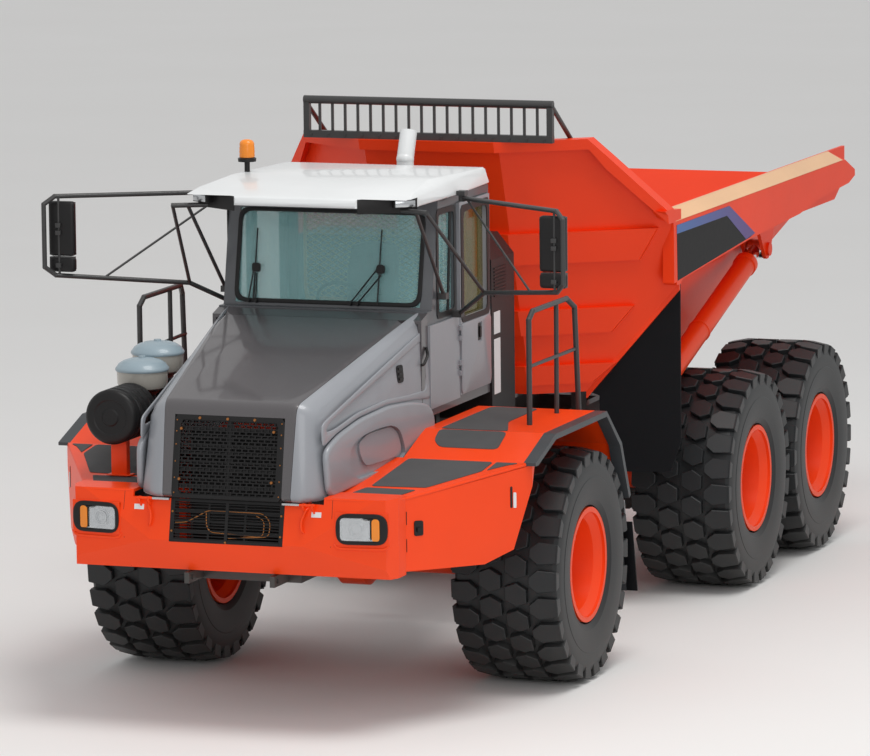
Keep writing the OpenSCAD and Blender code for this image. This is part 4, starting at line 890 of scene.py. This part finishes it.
# %% [markdown]
# A head lamp unit: a black rounded bezel, a bright reflector under a clear lens, and an
# amber indicator on its outer side, all following the bumper's swept corner. Each part is
# its own material, so each is its own piece; the two sides share one piece of each kind.

# %% Head lamps
def lamp_frame(side):
    along = Vector((side * 0.65, 0.09, 0)).normalized()
    outward = Vector((side * 0.09, -0.65, 0)).normalized()
    origin = Vector((side * 1.083, bumper_y(1.083, 1.625), 1.625))
    return lambda a, u, o=0.0: origin + along * a + Vector((0, 0, u)) + outward * o


bezel, bowl, glass, amber, shelf, surround = (bmesh.new() for kind in range(6))
for side in SIDES:
    place = lamp_frame(side)
    push = rise(place, 0.020)
    ring_plate(surround, outline_on(place, corners(-0.203, 0.211, -0.124, 0.124), 0.004, 96, -0.006),
               outline_on(place, corners(-0.195, 0.203, -0.116, 0.116), 0.10, 96, -0.006), push * 0.55)
    ring_plate(bezel, outline_on(place, corners(-0.198, 0.206, -0.119, 0.119), 0.10, 72, -0.004),
               outline_on(place, corners(-0.168, 0.145, -0.092, 0.086), 0.04, 72, -0.004), push)
    plate(bezel, outline_on(place, corners(0.068, 0.078, -0.088, 0.083), 0.003, 16), push * 0.6)
    plate(bezel, [place(0.01, 0.084), place(0.15, 0.084), place(0.15, 0.066), place(0.02, 0.070)], push * 0.7)
    plate(bowl, outline_on(place, corners(-0.168, 0.145, -0.09, 0.084), 0.03, 40, -0.003), push * 0.15)
    centre = place(-0.045, 0.0, 0.0)
    for radius, depth in ((0.062, 0.35), (0.048, 0.55)):
        outer = centre + (place(radius, 0) - place(0, 0))
        inner = centre + (place(radius - 0.008, 0) - place(0, 0))
        spun(bowl, [outer, outer + push * depth, inner + push * depth, inner], centre, push.normalized(), 28)
    for target, a0, a1 in ((glass, -0.165, 0.066), (amber, 0.080, 0.143)):
        pane = bmesh.new()
        plate(pane, outline_on(place, corners(a0, a1, -0.089, 0.083), 0.03, 48, 0.004), push * 0.62)
        bevel_all(pane, 0.006, 3, 50)
        pour(pane, target)
    tube(shelf, [place(-0.215, -0.115, -0.006), place(-0.19, -0.152, 0.002), place(0.19, -0.152, 0.002),
                 place(0.215, -0.115, -0.006)], 0.05, 0.012)
bevel_all(bezel, 0.005, 3, 50)
piece("lamp_bezels", bezel, black_plastic, "tractor", "black_plastic", 35)
piece("lamp_bowls", bowl, bright_lamp, "tractor", "steel", 35)
piece("lamp_lenses", glass, lens_clear, "tractor", "window_glass", 35)
piece("lamp_indicators", amber, amber_body, "tractor", "amber", 35)
piece("lamp_surrounds", surround, orange, "tractor", "orange_paint", 35)
piece("lamp_shelves", shelf, orange, "tractor", "orange_paint", 50)

# %% [markdown]
# The decks are orange sheet with rolled edges. Grey anti-slip sheets are laid on them: the
# front deck rises gently towards the cab, then steeper up the wheel's arch, and is flat over
# the wheel. Two small functions give that height, and the sheets follow it.

# %% Deck sheets and edges
def deck_z(y):
    return 1.83 + (y + 5.25) * DECK_SLOPE


def arch_z(y):
    return 1.96 + (y + 4.17) * 0.16 / 0.49 if y < -3.68 else 2.12


def sheet_on(bm, outline, height_at, reach, count=60):
    points = closed_loop([(x, y, height_at(y)) for x, y in outline], reach, count)
    plate(bm, [(p.x, p.y, height_at(p.y) + 0.0005) for p in points], (0, 0, 0.004))


pads = bmesh.new()
sheet_on(pads, [(0.87, -5.20), (0.93, -5.035), (1.335, -5.045), (1.262, -5.205)], deck_z, 0.02)
sheet_on(pads, [(0.95, -4.99), (0.97, -4.20), (1.66, -4.20), (1.66, -4.46), (1.39, -4.97)], deck_z, 0.02, 80)
sheet_on(pads, [(1.69, -4.43), (1.69, -4.20), (1.86, -4.20), (1.86, -4.215), (1.80, -4.27)], deck_z, 0.01)
sheet_on(pads, [(1.14, -3.98), (1.62, -3.98), (1.60, -3.69), (1.04, -3.69), (1.06, -3.87)], arch_z, 0.05)
sheet_on(pads, [(1.04, -3.67), (1.60, -3.67), (1.44, -3.20), (1.44, -2.46), (1.04, -2.46)], arch_z, 0.05)
mirror_copy(pads)
piece("grip_pads", pads, grip_pad, "tractor", "rubber", 30)
bm = bmesh.new()
tube(bm, [(1.315, -5.25, 1.818), (1.935, -4.12, 1.948), (1.935, -4.06, 1.95)], 0.05, 0.013, 3)
tube(bm, [(0.80, -5.542, 1.838), (1.20, -5.542, 1.838), (1.312, -5.42, 1.838), (1.315, -5.25, 1.82)],
     0.12, 0.013, 3)
mirror_copy(bm)
piece("deck_edges", bm, orange, "tractor", "orange_paint", 60)

# %% [markdown]
# A locker door is let into each deck's flank, with its hinges, latch, grip and reflector.
# They are drawn on the flank's plane and mirrored, as thin plates a hair above the sheet.

# %% Locker doors
locker = panel_frame((1.324, -5.25, 1.63), (0.626, 1.14, 0), (0, 0, 1))
bm = bmesh.new()
for u in (-0.17, 0.04):
    sheet_at(bm, locker, corners(0.004, 0.009, u - 0.05, u + 0.05), 0.003, 0.0003)
sheet_at(bm, locker, [(0.082, -0.105), (0.172, -0.11), (0.172, 0.005), (0.082, 0.012)], 0.006, 0.0003,
         0.015, 24)
sheet_at(bm, locker, [(0.105, -0.075), (0.15, -0.078), (0.15, -0.045), (0.105, -0.042)], 0.01, 0.006)
sheet_at(bm, locker, corners(1.068, 1.090, -0.005, 0.165), 0.003, 0.0003, 0.01, 24)
mirror_copy(bm)
piece("deck_latches", bm, black_plastic, "tractor", "black_plastic", 30)
bm = bmesh.new()
sheet_at(bm, locker, [(1.098, -0.005), (1.128, -0.008), (1.128, 0.112), (1.098, 0.115)], 0.005, 0.0003,
         0.006, 24)
mirror_copy(bm)
piece("deck_reflectors", bm, white_paint, "tractor", "white_shell", 30)

# %% [markdown]
# Behind each front wheel hangs a mud flap. The construction model has its main sheet. Its
# outer edge, as far out as the tyre's wall, and the steel clamp above it are added here.

# %% Mud flaps
FLAP_EDGE = ((-1.748, 1.12), (-1.6235, 0.548), (-1.6235, 0.532), (-1.640, 0.532), (-1.768, 1.12))
FLAP_CLAMP = ((-1.800, 1.30), (-1.768, 1.13), (-1.745, 1.13), (-1.777, 1.30))
bm = bmesh.new()
plate(bm, [(1.898, y, z) for y, z in FLAP_EDGE], (0.092, 0, 0))
bevel_all(bm, 0.003, 2, 50)
mirror_copy(bm)
piece("mud_flap_edges", bm, flap_rubber, "tractor", "rubber", 30)
bm = bmesh.new()
plate(bm, [(1.860, y, z) for y, z in FLAP_CLAMP], (0.075, 0, 0))
for z in (1.17, 1.26):
    bolt(bm, (1.915, -1.772 + (1.215 - z) * 0.19 - 0.012, z), (0, -1, 0.19), 0.014, 0.012, 8)
bevel_all(bm, 0.002, 1, 50)
mirror_copy(bm)
piece("mud_flap_clamps", bm, dull_steel, "tractor", "steel", 30)

# %% [markdown]
# The cab's roof is one moulded white shell: a convex form with soft edges and the two front
# corners of its visor cut away. A black pocket closes each corner and holds a work lamp.

# %% Cab roof
BEACON_X, BEACON_Y = -0.80, -3.05
shell, knife = bmesh.new(), bmesh.new()
hull(shell, both_sides([(0.930, -4.070, 3.880), (0.930, -4.060, 3.950), (0.900, -3.850, 3.990),
                        (0.830, -3.300, 4.036), (0.860, -2.054, 4.006), (0.900, -2.054, 3.880),
                        (0.930, -2.900, 3.874)]) + [(0, -4.086, 3.900)])
bevel_all(shell, 0.028, 4, 14)
VISOR_CUT = ((0.50, -4.20), (1.05, -4.20), (1.05, -3.72), (0.50, -4.07))
for side in SIDES:
    plate(knife, [(side * x, y, 3.80) for x, y in VISOR_CUT], (0, 0, 0.152))
piece("cab_roof_dressed", carved(shell, knife), white_paint, "tractor", "white_shell", 30,
      replaces=("cab_roof",))
post = bmesh.new()
bar(post, (BEACON_X, BEACON_Y, 3.99), (BEACON_X, BEACON_Y, 4.112), 0.022, 16)
bar(post, (BEACON_X, BEACON_Y, 4.00), (BEACON_X, BEACON_Y, 4.022), 0.05, 20, 0.04)
piece("beacon_post", post, black_plastic, "tractor", "black_plastic", 30)

# %% Roof corners and work lamps
pocket, body, pane = bmesh.new(), bmesh.new(), bmesh.new()
for side in SIDES:
    corner = panel_frame((side * 0.50, -4.062, 3.884), (side * 0.55, 0.35, 0), (0, 0, 1))
    outward = Vector((side * 0.35, -0.55, 0)).normalized()
    plate(pocket, [corner(a, u) for a, u in corners(0.012, 0.49, -0.05, 0.066)], outward * 0.012)
    plate(body, [corner(a, u) for a, u in corners(0.29, 0.47, -0.006, 0.062)], outward * 0.075)
    plate(pane, [corner(a, u) + outward * 0.07 for a, u in corners(0.30, 0.46, 0.002, 0.055)],
          outward * 0.012)
for one in (pocket, body, pane):
    bevel_all(one, 0.004, 2, 50)
piece("roof_corner_pockets", pocket, black_plastic, "tractor", "black_plastic", 30)
piece("work_lamp_bodies", body, black_plastic, "tractor", "black_plastic", 30)
piece("work_lamp_lenses", pane, bright_lamp, "tractor", "steel", 30)

# %% [markdown]
# The beacon is a fluted amber dome on a black foot; it replaces the plain drum. Both are
# profiles spun round its post, which gives the flutes with a few points.

# %% Beacon
FOOT = [(0.0, 4.112), (0.072, 4.112), (0.074, 4.138), (0.058, 4.146), (0.0, 4.146)]
DOME = [(0.0, 4.147), (0.060, 4.147), (0.062, 4.16), (0.060, 4.175), (0.062, 4.19), (0.060, 4.205),
        (0.061, 4.22), (0.058, 4.235), (0.060, 4.25), (0.055, 4.268), (0.042, 4.282), (0.02, 4.289),
        (0.0, 4.290)]
foot, dome = bmesh.new(), bmesh.new()
turned(foot, (BEACON_X, BEACON_Y, 4.1), FOOT, 32)
turned(dome, (BEACON_X, BEACON_Y, 4.1), DOME, 36)
piece("beacon_foot", foot, black_plastic, "tractor", "black_plastic", 35)
piece("beacon_dome", dome, amber_body, "tractor", "amber", 35, replaces=("beacon",))

# %% [markdown]
# The windscreen sits in a black rubber seal. Two wipers park on it: each a pair of thin
# arms that keep their blade upright as they swing, with a hub where arms and blade meet.

# %% Windscreen seal and wipers
screen = panel_frame((0, -3.398, 3.02), (1, 0, 0), (0, 0.156, 0.750))
bm = bmesh.new()
ring_plate(bm, outline_on(screen, corners(-0.79, 0.79, 0.01, 0.768), 0.09, 96, -0.006),
           outline_on(screen, corners(-0.757, 0.757, 0.043, 0.737), 0.08, 96, -0.006), rise(screen, 0.022))
bevel_all(bm, 0.005, 2, 50)
piece("screen_seal", bm, black_plastic, "tractor", "black_plastic", 35)
WIPERS = (((0.20, 0.02), (0.43, 0.315), 0.02, 0.615), ((-0.66, 0.02), (-0.62, 0.30), 0.03, 0.60))
bm = bmesh.new()
for base, hub, low, high in WIPERS:
    for shift in (0.0, 0.062):
        bar(bm, screen(base[0] + shift, base[1], 0.030), screen(hub[0] + shift * 0.4, hub[1] - shift, 0.040),
            0.006, 8)
        bolt(bm, screen(base[0] + shift, base[1], 0.008), rise(screen, 1), 0.016, 0.03, 12)
    sheet_at(bm, screen, corners(hub[0] - 0.018, hub[0] + 0.05, hub[1] - 0.05, hub[1] + 0.02), 0.02, 0.028,
             0.02, 24)
    bar(bm, screen(hub[0], low, 0.022), screen(hub[0], high, 0.022), 0.007, 8, 0.004)
    sheet_at(bm, screen, corners(hub[0] - 0.003, hub[0] + 0.003, low, high), 0.012, 0.010)
piece("wipers", bm, black_plastic, "tractor", "black_plastic", 35)

# %% [markdown]
# Behind the rear window hangs a guard of expanded metal: rows of diamonds, each a thin
# strip of steel bent to and fro. It is real geometry, because it shows through two panes.

# %% Rear window guard
CELL_W, CELL_H, CELLS, CELL_ROWS, STRIP_HALF = 0.075, 0.046, 18, 21, 0.004
guard_face = upright(-2.09)
bm = bmesh.new()
for row in range(CELL_ROWS):
    z = 2.92 + CELL_H * row
    for k in range(CELLS):
        x = -0.675 + CELL_W * k
        for lift in SIDES:
            ends = [(x, z), (x + CELL_W / 2, z + lift * CELL_H / 2), (x + CELL_W, z)]
            for (xa, za), (xb, zb) in zip(ends, ends[1:]):
                strip = ((xa, za - STRIP_HALF), (xb, zb - STRIP_HALF),
                         (xb, zb + STRIP_HALF), (xa, za + STRIP_HALF))
                plate(bm, [(a, -2.086, u) for a, u in strip], (0, 0.004, 0))
ring_plate(bm, outline_on(guard_face, corners(-0.70, 0.70, 2.89, 3.86), 0.02, 48),
           outline_on(guard_face, corners(-0.675, 0.675, 2.915, 3.835), 0.02, 48), (0, 0.014, 0))
piece("rear_guard", bm, guard_paint, "tractor", "frame_paint", 30)

# %% [markdown]
# Door and side windows have dark seals too. The door's outer skin is a thin pressed sheet
# on the door's frame, with a hole carved for the sunk grip and its black lever.

# %% Door trim
door = panel_frame((0.9055, -2.80, 2.26), (0, 1, 0), (0, 0, 1))
bm = bmesh.new()
ring_plate(bm, outline_on(door, corners(0.02, 0.695, 0.575, 1.515), 0.05, 72),
           outline_on(door, corners(0.078, 0.637, 0.618, 1.462), 0.05, 72), rise(door, 0.006))
sheet_at(bm, door, corners(0.395, 0.475, 0.385, 0.525), 0.004, 0.0, 0.012, 24)
sheet_at(bm, door, corners(0.42, 0.452, 0.41, 0.50), 0.018, 0.0, 0.01, 24)
piece("door_seal", bm, black_plastic, "door", "black_plastic", 35)
skin, cutter = bmesh.new(), bmesh.new()
sheet_at(skin, door, corners(0.006, 0.709, 0.006, 0.57), 0.009, 0.0, 0.03, 60)
bevel_all(skin, 0.004, 2, 50)
sheet_at(cutter, door, corners(0.385, 0.485, 0.375, 0.535), 0.03, 0.003, 0.015, 24)
piece("door_skin", carved(skin, cutter), hood_light, "door", "light_paint", 35)

# %% Seals of the side windows
CAB_SIDE = 0.8805
bm = bmesh.new()
for side in SIDES:
    quarter = panel_frame((side * CAB_SIDE, -3.24, 2.97), (0, 1, 0), (0, 0, 1))
    ring_plate(bm, outline_on(quarter, corners(-0.045, 0.40, -0.045, 0.825), 0.04, 64),
               outline_on(quarter, corners(0.0, 0.358, 0.0, 0.778), 0.04, 64), (side * 0.006, 0, 0))
    bar(bm, quarter(0.20, 0.0, 0.004 * side), quarter(0.27, 0.78, 0.004 * side), 0.012, 8)
right_wall = panel_frame((-CAB_SIDE, 0, 0), (0, 1, 0), (0, 0, 1))
ring_plate(bm, outline_on(right_wall, corners(-2.845, -2.105, 2.825, 3.795), 0.04, 64),
           outline_on(right_wall, corners(-2.80, -2.152, 2.872, 3.748), 0.04, 64), (-0.006, 0, 0))
piece("side_seals", bm, black_plastic, "tractor", "black_plastic", 35)

# %% [markdown]
# Mirror heads are deep rounded shells with the glass let into their rear faces, held on an
# upright bar by clamps. They close round the construction model's plain heads.

# %% Mirror heads
GLASS_EDGE, CLAMP_HALF = 0.018, 0.022
mirror_face = upright(-3.8345)
shells, glasses, clamps = bmesh.new(), bmesh.new(), bmesh.new()
for side in SIDES:
    x0, x1 = sorted((side * 1.948, side * 2.166))
    for z0, z1 in ((3.412, 3.848), (3.284, 3.406)):
        head = bmesh.new()
        block(head, (x0, -3.912, z0), (x1, -3.835, z1))
        bevel_all(head, 0.028, 4, 50)
        pour(head, shells)
        inset = corners(x0 + GLASS_EDGE, x1 - GLASS_EDGE, z0 + GLASS_EDGE, z1 - GLASS_EDGE)
        plate(glasses, outline_on(mirror_face, inset, 0.02, 32), (0, 0.002, 0))
    for z in (3.60, 3.66, 3.34):
        block(clamps, (side * 2.075 - CLAMP_HALF, -3.935, z - 0.018),
              (side * 2.075 + CLAMP_HALF, -3.905, z + 0.018))
bevel_all(clamps, 0.004, 2, 50)
piece("mirror_shells", shells, black_plastic, "tractor", "black_plastic", 35)
piece("mirror_glasses", glasses, mirror_glass, "tractor", "steel", 35)
piece("mirror_clamps", clamps, charcoal, "tractor", "frame_paint", 35)

# %% [markdown]
# A bracket at each front corner of the roof holds two struts, which steady the mirror's
# lower arm and the foot of its bracket on the cab.

# %% Mirror struts
bm = bmesh.new()
for side in SIDES:
    bar(bm, (side * 0.80, -3.86, 3.854), (side * 1.070, -4.0, 3.854), 0.020, 12)
    bar(bm, (side * 1.06, -3.995, 3.854), (side * 1.25, -3.20, 3.14), 0.015, 12)
    bar(bm, (side * 0.955, -3.94, 3.854), (side * 0.925, -3.24, 3.115), 0.015, 12)
    x0, x1 = sorted((side * CAB_SIDE, side * 0.955))
    block(bm, (x0, -3.275, 3.085), (x1, -3.205, 3.135))
piece("mirror_struts", bm, charcoal, "tractor", "frame_paint", 35)

# %% [markdown]
# The bin's long rails have a painted highlight: their upper faces and top edges are pale cream. A dark band
# with a border that turns from blue to purple marks each flank. Bands are thin plates on the sheet, with
# the border a hair in front of the band, because two faces in one place would flicker.

# %% Bin edges and bands
# The rail's sloping upper face and a tube along its top edge are painted pale cream: a painted highlight
# where the paint catches the bright sky.
RAIL_FACE = [(1.748, 0.20, 3.337), (1.653, 0.20, 3.431), (1.653, 5.06, 3.431), (1.748, 5.22, 3.337)]
bm = bmesh.new()
for side in SIDES:
    lean = Vector((side, 0, 1)).normalized()
    plate(bm, [Vector((side * x, y, z)) + lean * 0.002 for x, y, z in RAIL_FACE], lean * 0.004)
    tube(bm, [(side * 1.655, y, z) for y, z in ((0.30, 3.430), (5.05, 3.430), (5.60, 3.235))], 0.05, 0.008)
piece("rail_painted_highlights", bm, rail_highlight_cream, "bin", "bin_paint", 40)
b = Bench("band_blue_to_purple")
tone = b.mix(b.fade(b.along(1), 0.4, 2.3, 0.0, 1.0), (0.035, 0.115, 0.36), (0.085, 0.030, 0.20))
band_blue = b.finish(Base_Color=tone, Roughness=0.4)
BAND = [(0.225, 3.305), (1.715, 3.305), (2.47, 2.985), (2.30, 2.962), (2.162, 2.955), (0.243, 2.835)]
BAND_BORDER = [(0.225, 3.305), (1.715, 3.305), (2.47, 2.985), (2.20, 2.960), (1.64, 3.228), (0.225, 3.232)]
for name, outline, finish, slot, lift in (("bin_bands", BAND, band_black, "dark_paint", 0.0),
                                          ("bin_band_borders", BAND_BORDER, band_blue, "bin_paint", 0.0015)):
    bm = bmesh.new()
    for side in SIDES:
        plate(bm, [(side * (1.7502 + lift), y, z) for y, z in outline], (side * 0.0012, 0, 0))
    piece(name, bm, finish, "bin", slot, 0)

# %% [markdown]
# The air cleaner is a drum of black plastic with ribs and a clamped lid; two bowls of milky
# plastic with pale blue lids stand on its duct. All are profiles spun round their shafts,
# which gives each its moulded form. Middle and width are read from the piece they replace.

# %% Air cleaner
low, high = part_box("air_cleaner")
CLEANER_X, DRUM_R, DRUM_Z = (low[0] + high[0]) / 2, (high[0] - low[0]) / 2, 2.340
DRUM_LID = [(0.0, -5.214), (0.06, -5.214), (0.07, -5.206), (0.13, -5.206), (0.14, -5.213),
            (DRUM_R - 0.03, -5.210), (DRUM_R - 0.008, -5.196), (DRUM_R, -5.18), (DRUM_R, -5.155),
            (DRUM_R - 0.008, -5.15), (DRUM_R - 0.008, -5.10)]
RIBS = [(DRUM_R - (0.008 if k % 2 else 0.0), -5.10 + 0.045 * k + d) for k in range(7) for d in (0.006, 0.039)]
DRUM_BACK = [(DRUM_R - 0.03, -4.745), (0.0, -4.742)]
drum, lids, bowls, legs = bmesh.new(), bmesh.new(), bmesh.new(), bmesh.new()
spun(drum, [(CLEANER_X + r, y, DRUM_Z) for r, y in DRUM_LID + RIBS + DRUM_BACK],
     (CLEANER_X, 0, DRUM_Z), (0, 1, 0), 48)
block(drum, (CLEANER_X - 0.10, -4.76, DRUM_Z - 0.11), (CLEANER_X + 0.10, -4.15, DRUM_Z - 0.001))
for y, top in ((-4.55, 2.65), (-4.23, 2.74)):
    shaft = (CLEANER_X, y, 0)
    turned(drum, shaft, [(0.0, DRUM_Z - 0.02), (0.10, DRUM_Z - 0.02), (0.105, top - 0.22), (0.15, top - 0.18),
                         (0.0, top - 0.178)], 40)
    turned(bowls, shaft, [(0.0, top - 0.176), (0.150, top - 0.176), (0.185, top - 0.16), (0.196, top - 0.13),
                          (0.200, top - 0.03), (0.0, top - 0.03)], 48)
    turned(lids, shaft, [(0.0, top - 0.029), (0.208, top - 0.029), (0.212, top - 0.020), (0.210, top - 0.008),
                         (0.200, top + 0.004), (0.185, top + 0.026), (0.15, top + 0.048), (0.10, top + 0.064),
                         (0.03, top + 0.072), (0.028, top + 0.084), (0.0, top + 0.086)], 48)
for y, top in ((-5.05, 2.20), (-4.30, 2.24)):
    on_deck = deck_z(y) + 0.001
    block(legs, (CLEANER_X - 0.065, y, on_deck), (CLEANER_X + 0.065, y + 0.07, top))
    block(legs, (CLEANER_X - 0.10, y - 0.02, deck_z(y + 0.09) + 0.001),
          (CLEANER_X + 0.10, y + 0.09, deck_z(y) + 0.02))
bevel_all(legs, 0.006, 2, 50)
piece("cleaner_drum", drum, black_plastic, "tractor", "black_plastic", 35, replaces=("air_cleaner",))
piece("cleaner_bowls", bowls, bowl_clear, "tractor", "black_plastic", 35)
piece("cleaner_lids", lids, bowl_blue, "tractor", "black_plastic", 35)
piece("cleaner_legs", legs, orange, "tractor", "orange_paint", 35)

# %% [markdown]
# The cowl behind the cab gets louvres on both sides, and two pale plates on its left side.

# %% Cowl behind the cab
low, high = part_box("rear_cowl")
bm = bmesh.new()
for side in SIDES:
    for k in range(9):
        z = 2.95 + 0.028 * k
        bar(bm, (side * (high[0] + 0.001), -1.98, z), (side * (high[0] + 0.001), -1.70, z), 0.008, 8)
piece("cowl_louvres", bm, black_plastic, "tractor", "black_plastic", 35)
bm = bmesh.new()
for z0, z1 in ((2.15, 2.60), (2.64, 2.82)):
    plate(bm, [(high[0] + 0.0005, y, z) for y, z in corners(-1.99, -1.84, z0, z1)], (0.003, 0, 0))
bevel_all(bm, 0.001, 1, 50)
piece("blank_plates", bm, white_paint, "tractor", "white_shell", 0)

# %% [markdown]
# The seat is seen dimly through the glass. Cushion and back are pads: closed forms whose
# faces swell between their seams, on a plain pedestal. They are shaped by a formula and not
# by a cloth simulation, because so little of them shows.

# %% Seat
def pad(size, centre, lean=0.0, crown=0.03):
    bm = bmesh.new()
    bmesh.ops.create_cube(bm, size=1)
    bmesh.ops.subdivide_edges(bm, edges=list(bm.edges), cuts=7, use_grid_fill=True)
    for v in bm.verts:
        x, y, z = v.co * 2
        swell = (1 - x * x) * (1 - y * y) * (1 - z * z * 0.5)
        pull = 1 - 0.10 * (x * x * y * y) - 0.06 * z * z
        v.co = Vector((v.co.x * size[0] * pull, v.co.y * size[1] * pull, v.co.z * (size[2] + crown * swell)))
    bmesh.ops.rotate(bm, verts=bm.verts, cent=(0, 0, 0), matrix=Matrix.Rotation(lean, 3, "X"))
    bmesh.ops.translate(bm, verts=bm.verts, vec=centre)
    return bm


cushion = piece("seat_cushion", pad((0.45, 0.46, 0.10), (0, -2.715, 2.70)), seat_cloth, "tractor",
                "seat_fabric", 60, replaces=("seat",))
back = piece("seat_back", pad((0.43, 0.74, 0.10), (0, -2.355, 3.045), radians(80)), seat_cloth,
             "tractor", "seat_fabric", 60)
bm = bmesh.new()
block(bm, (-0.16, -2.86, 2.243), (0.16, -2.56, 2.645))
bevel_all(bm, 0.015, 2, 50)
piece("seat_pedestal", bm, black_plastic, "tractor", "black_plastic", 35)

# %% [markdown]
# Small parts tell how the truck is put together: the rack's end braces and bolts, the
# collars of the hoist cylinders, and the tail lamps on the ends of the frame's rails.

# %% Braces and collars
low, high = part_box("bin_rack")
rack_y = (low[1] + high[1]) / 2
bm = bmesh.new()
for side in SIDES:
    bar(bm, (side * 1.08, rack_y, 4.40), (side * 1.08, rack_y + 0.50, 4.075), 0.020, 12)
    for k in range(7):
        bolt(bm, (side * (0.12 + 0.15 * k), rack_y - 0.028, 4.128), (0, -1, 0), 0.012, 0.010, 6)
piece("rack_braces", bm, charcoal, "bin", "rail_paint", 35)
HOIST_X, COLLAR_RADII = 1.38, (0.106, 0.104, 0.102)
foot, eye = Vector((0, 0.75, 1.79)), Vector((0, 3.73, 2.69))
way = (eye - foot).normalized()
reach = (eye - foot).length - 0.33
collars = ((reach - 0.07, reach + 0.012), (0.112, 0.15), (1.30, 1.335))
bm = bmesh.new()
for side in SIDES:
    shift = Vector((side * HOIST_X, 0, 0))
    for (start, end), radius in zip(collars, COLLAR_RADII):
        bar(bm, foot + shift + way * start, foot + shift + way * end, radius, 32)
bevel_all(bm, 0.004, 2, 50)
piece("hoist_collars", bm, orange, "hoist_barrel_pair", "orange_paint", 35)

# %% Tail lamps
housing, red, yellow = bmesh.new(), bmesh.new(), bmesh.new()
for side in SIDES:
    x0, x1 = sorted((side * 0.332, side * 0.418))
    block(housing, (x0, 4.5005, 1.32), (x1, 4.545, 1.51))
    block(red, (x0 + 0.008, 4.54, 1.33), (x1 - 0.008, 4.556, 1.41))
    block(yellow, (x0 + 0.008, 4.54, 1.42), (x1 - 0.008, 4.556, 1.50))
for one in (housing, red, yellow):
    bevel_all(one, 0.004, 2, 50)
piece("tail_lamp_housings", housing, black_plastic, "rear", "frame_paint", 35)
piece("tail_lamp_red", red, red_lens, "rear", "orange_paint", 35)
piece("tail_lamp_amber", yellow, amber_body, "rear", "orange_paint", 35)
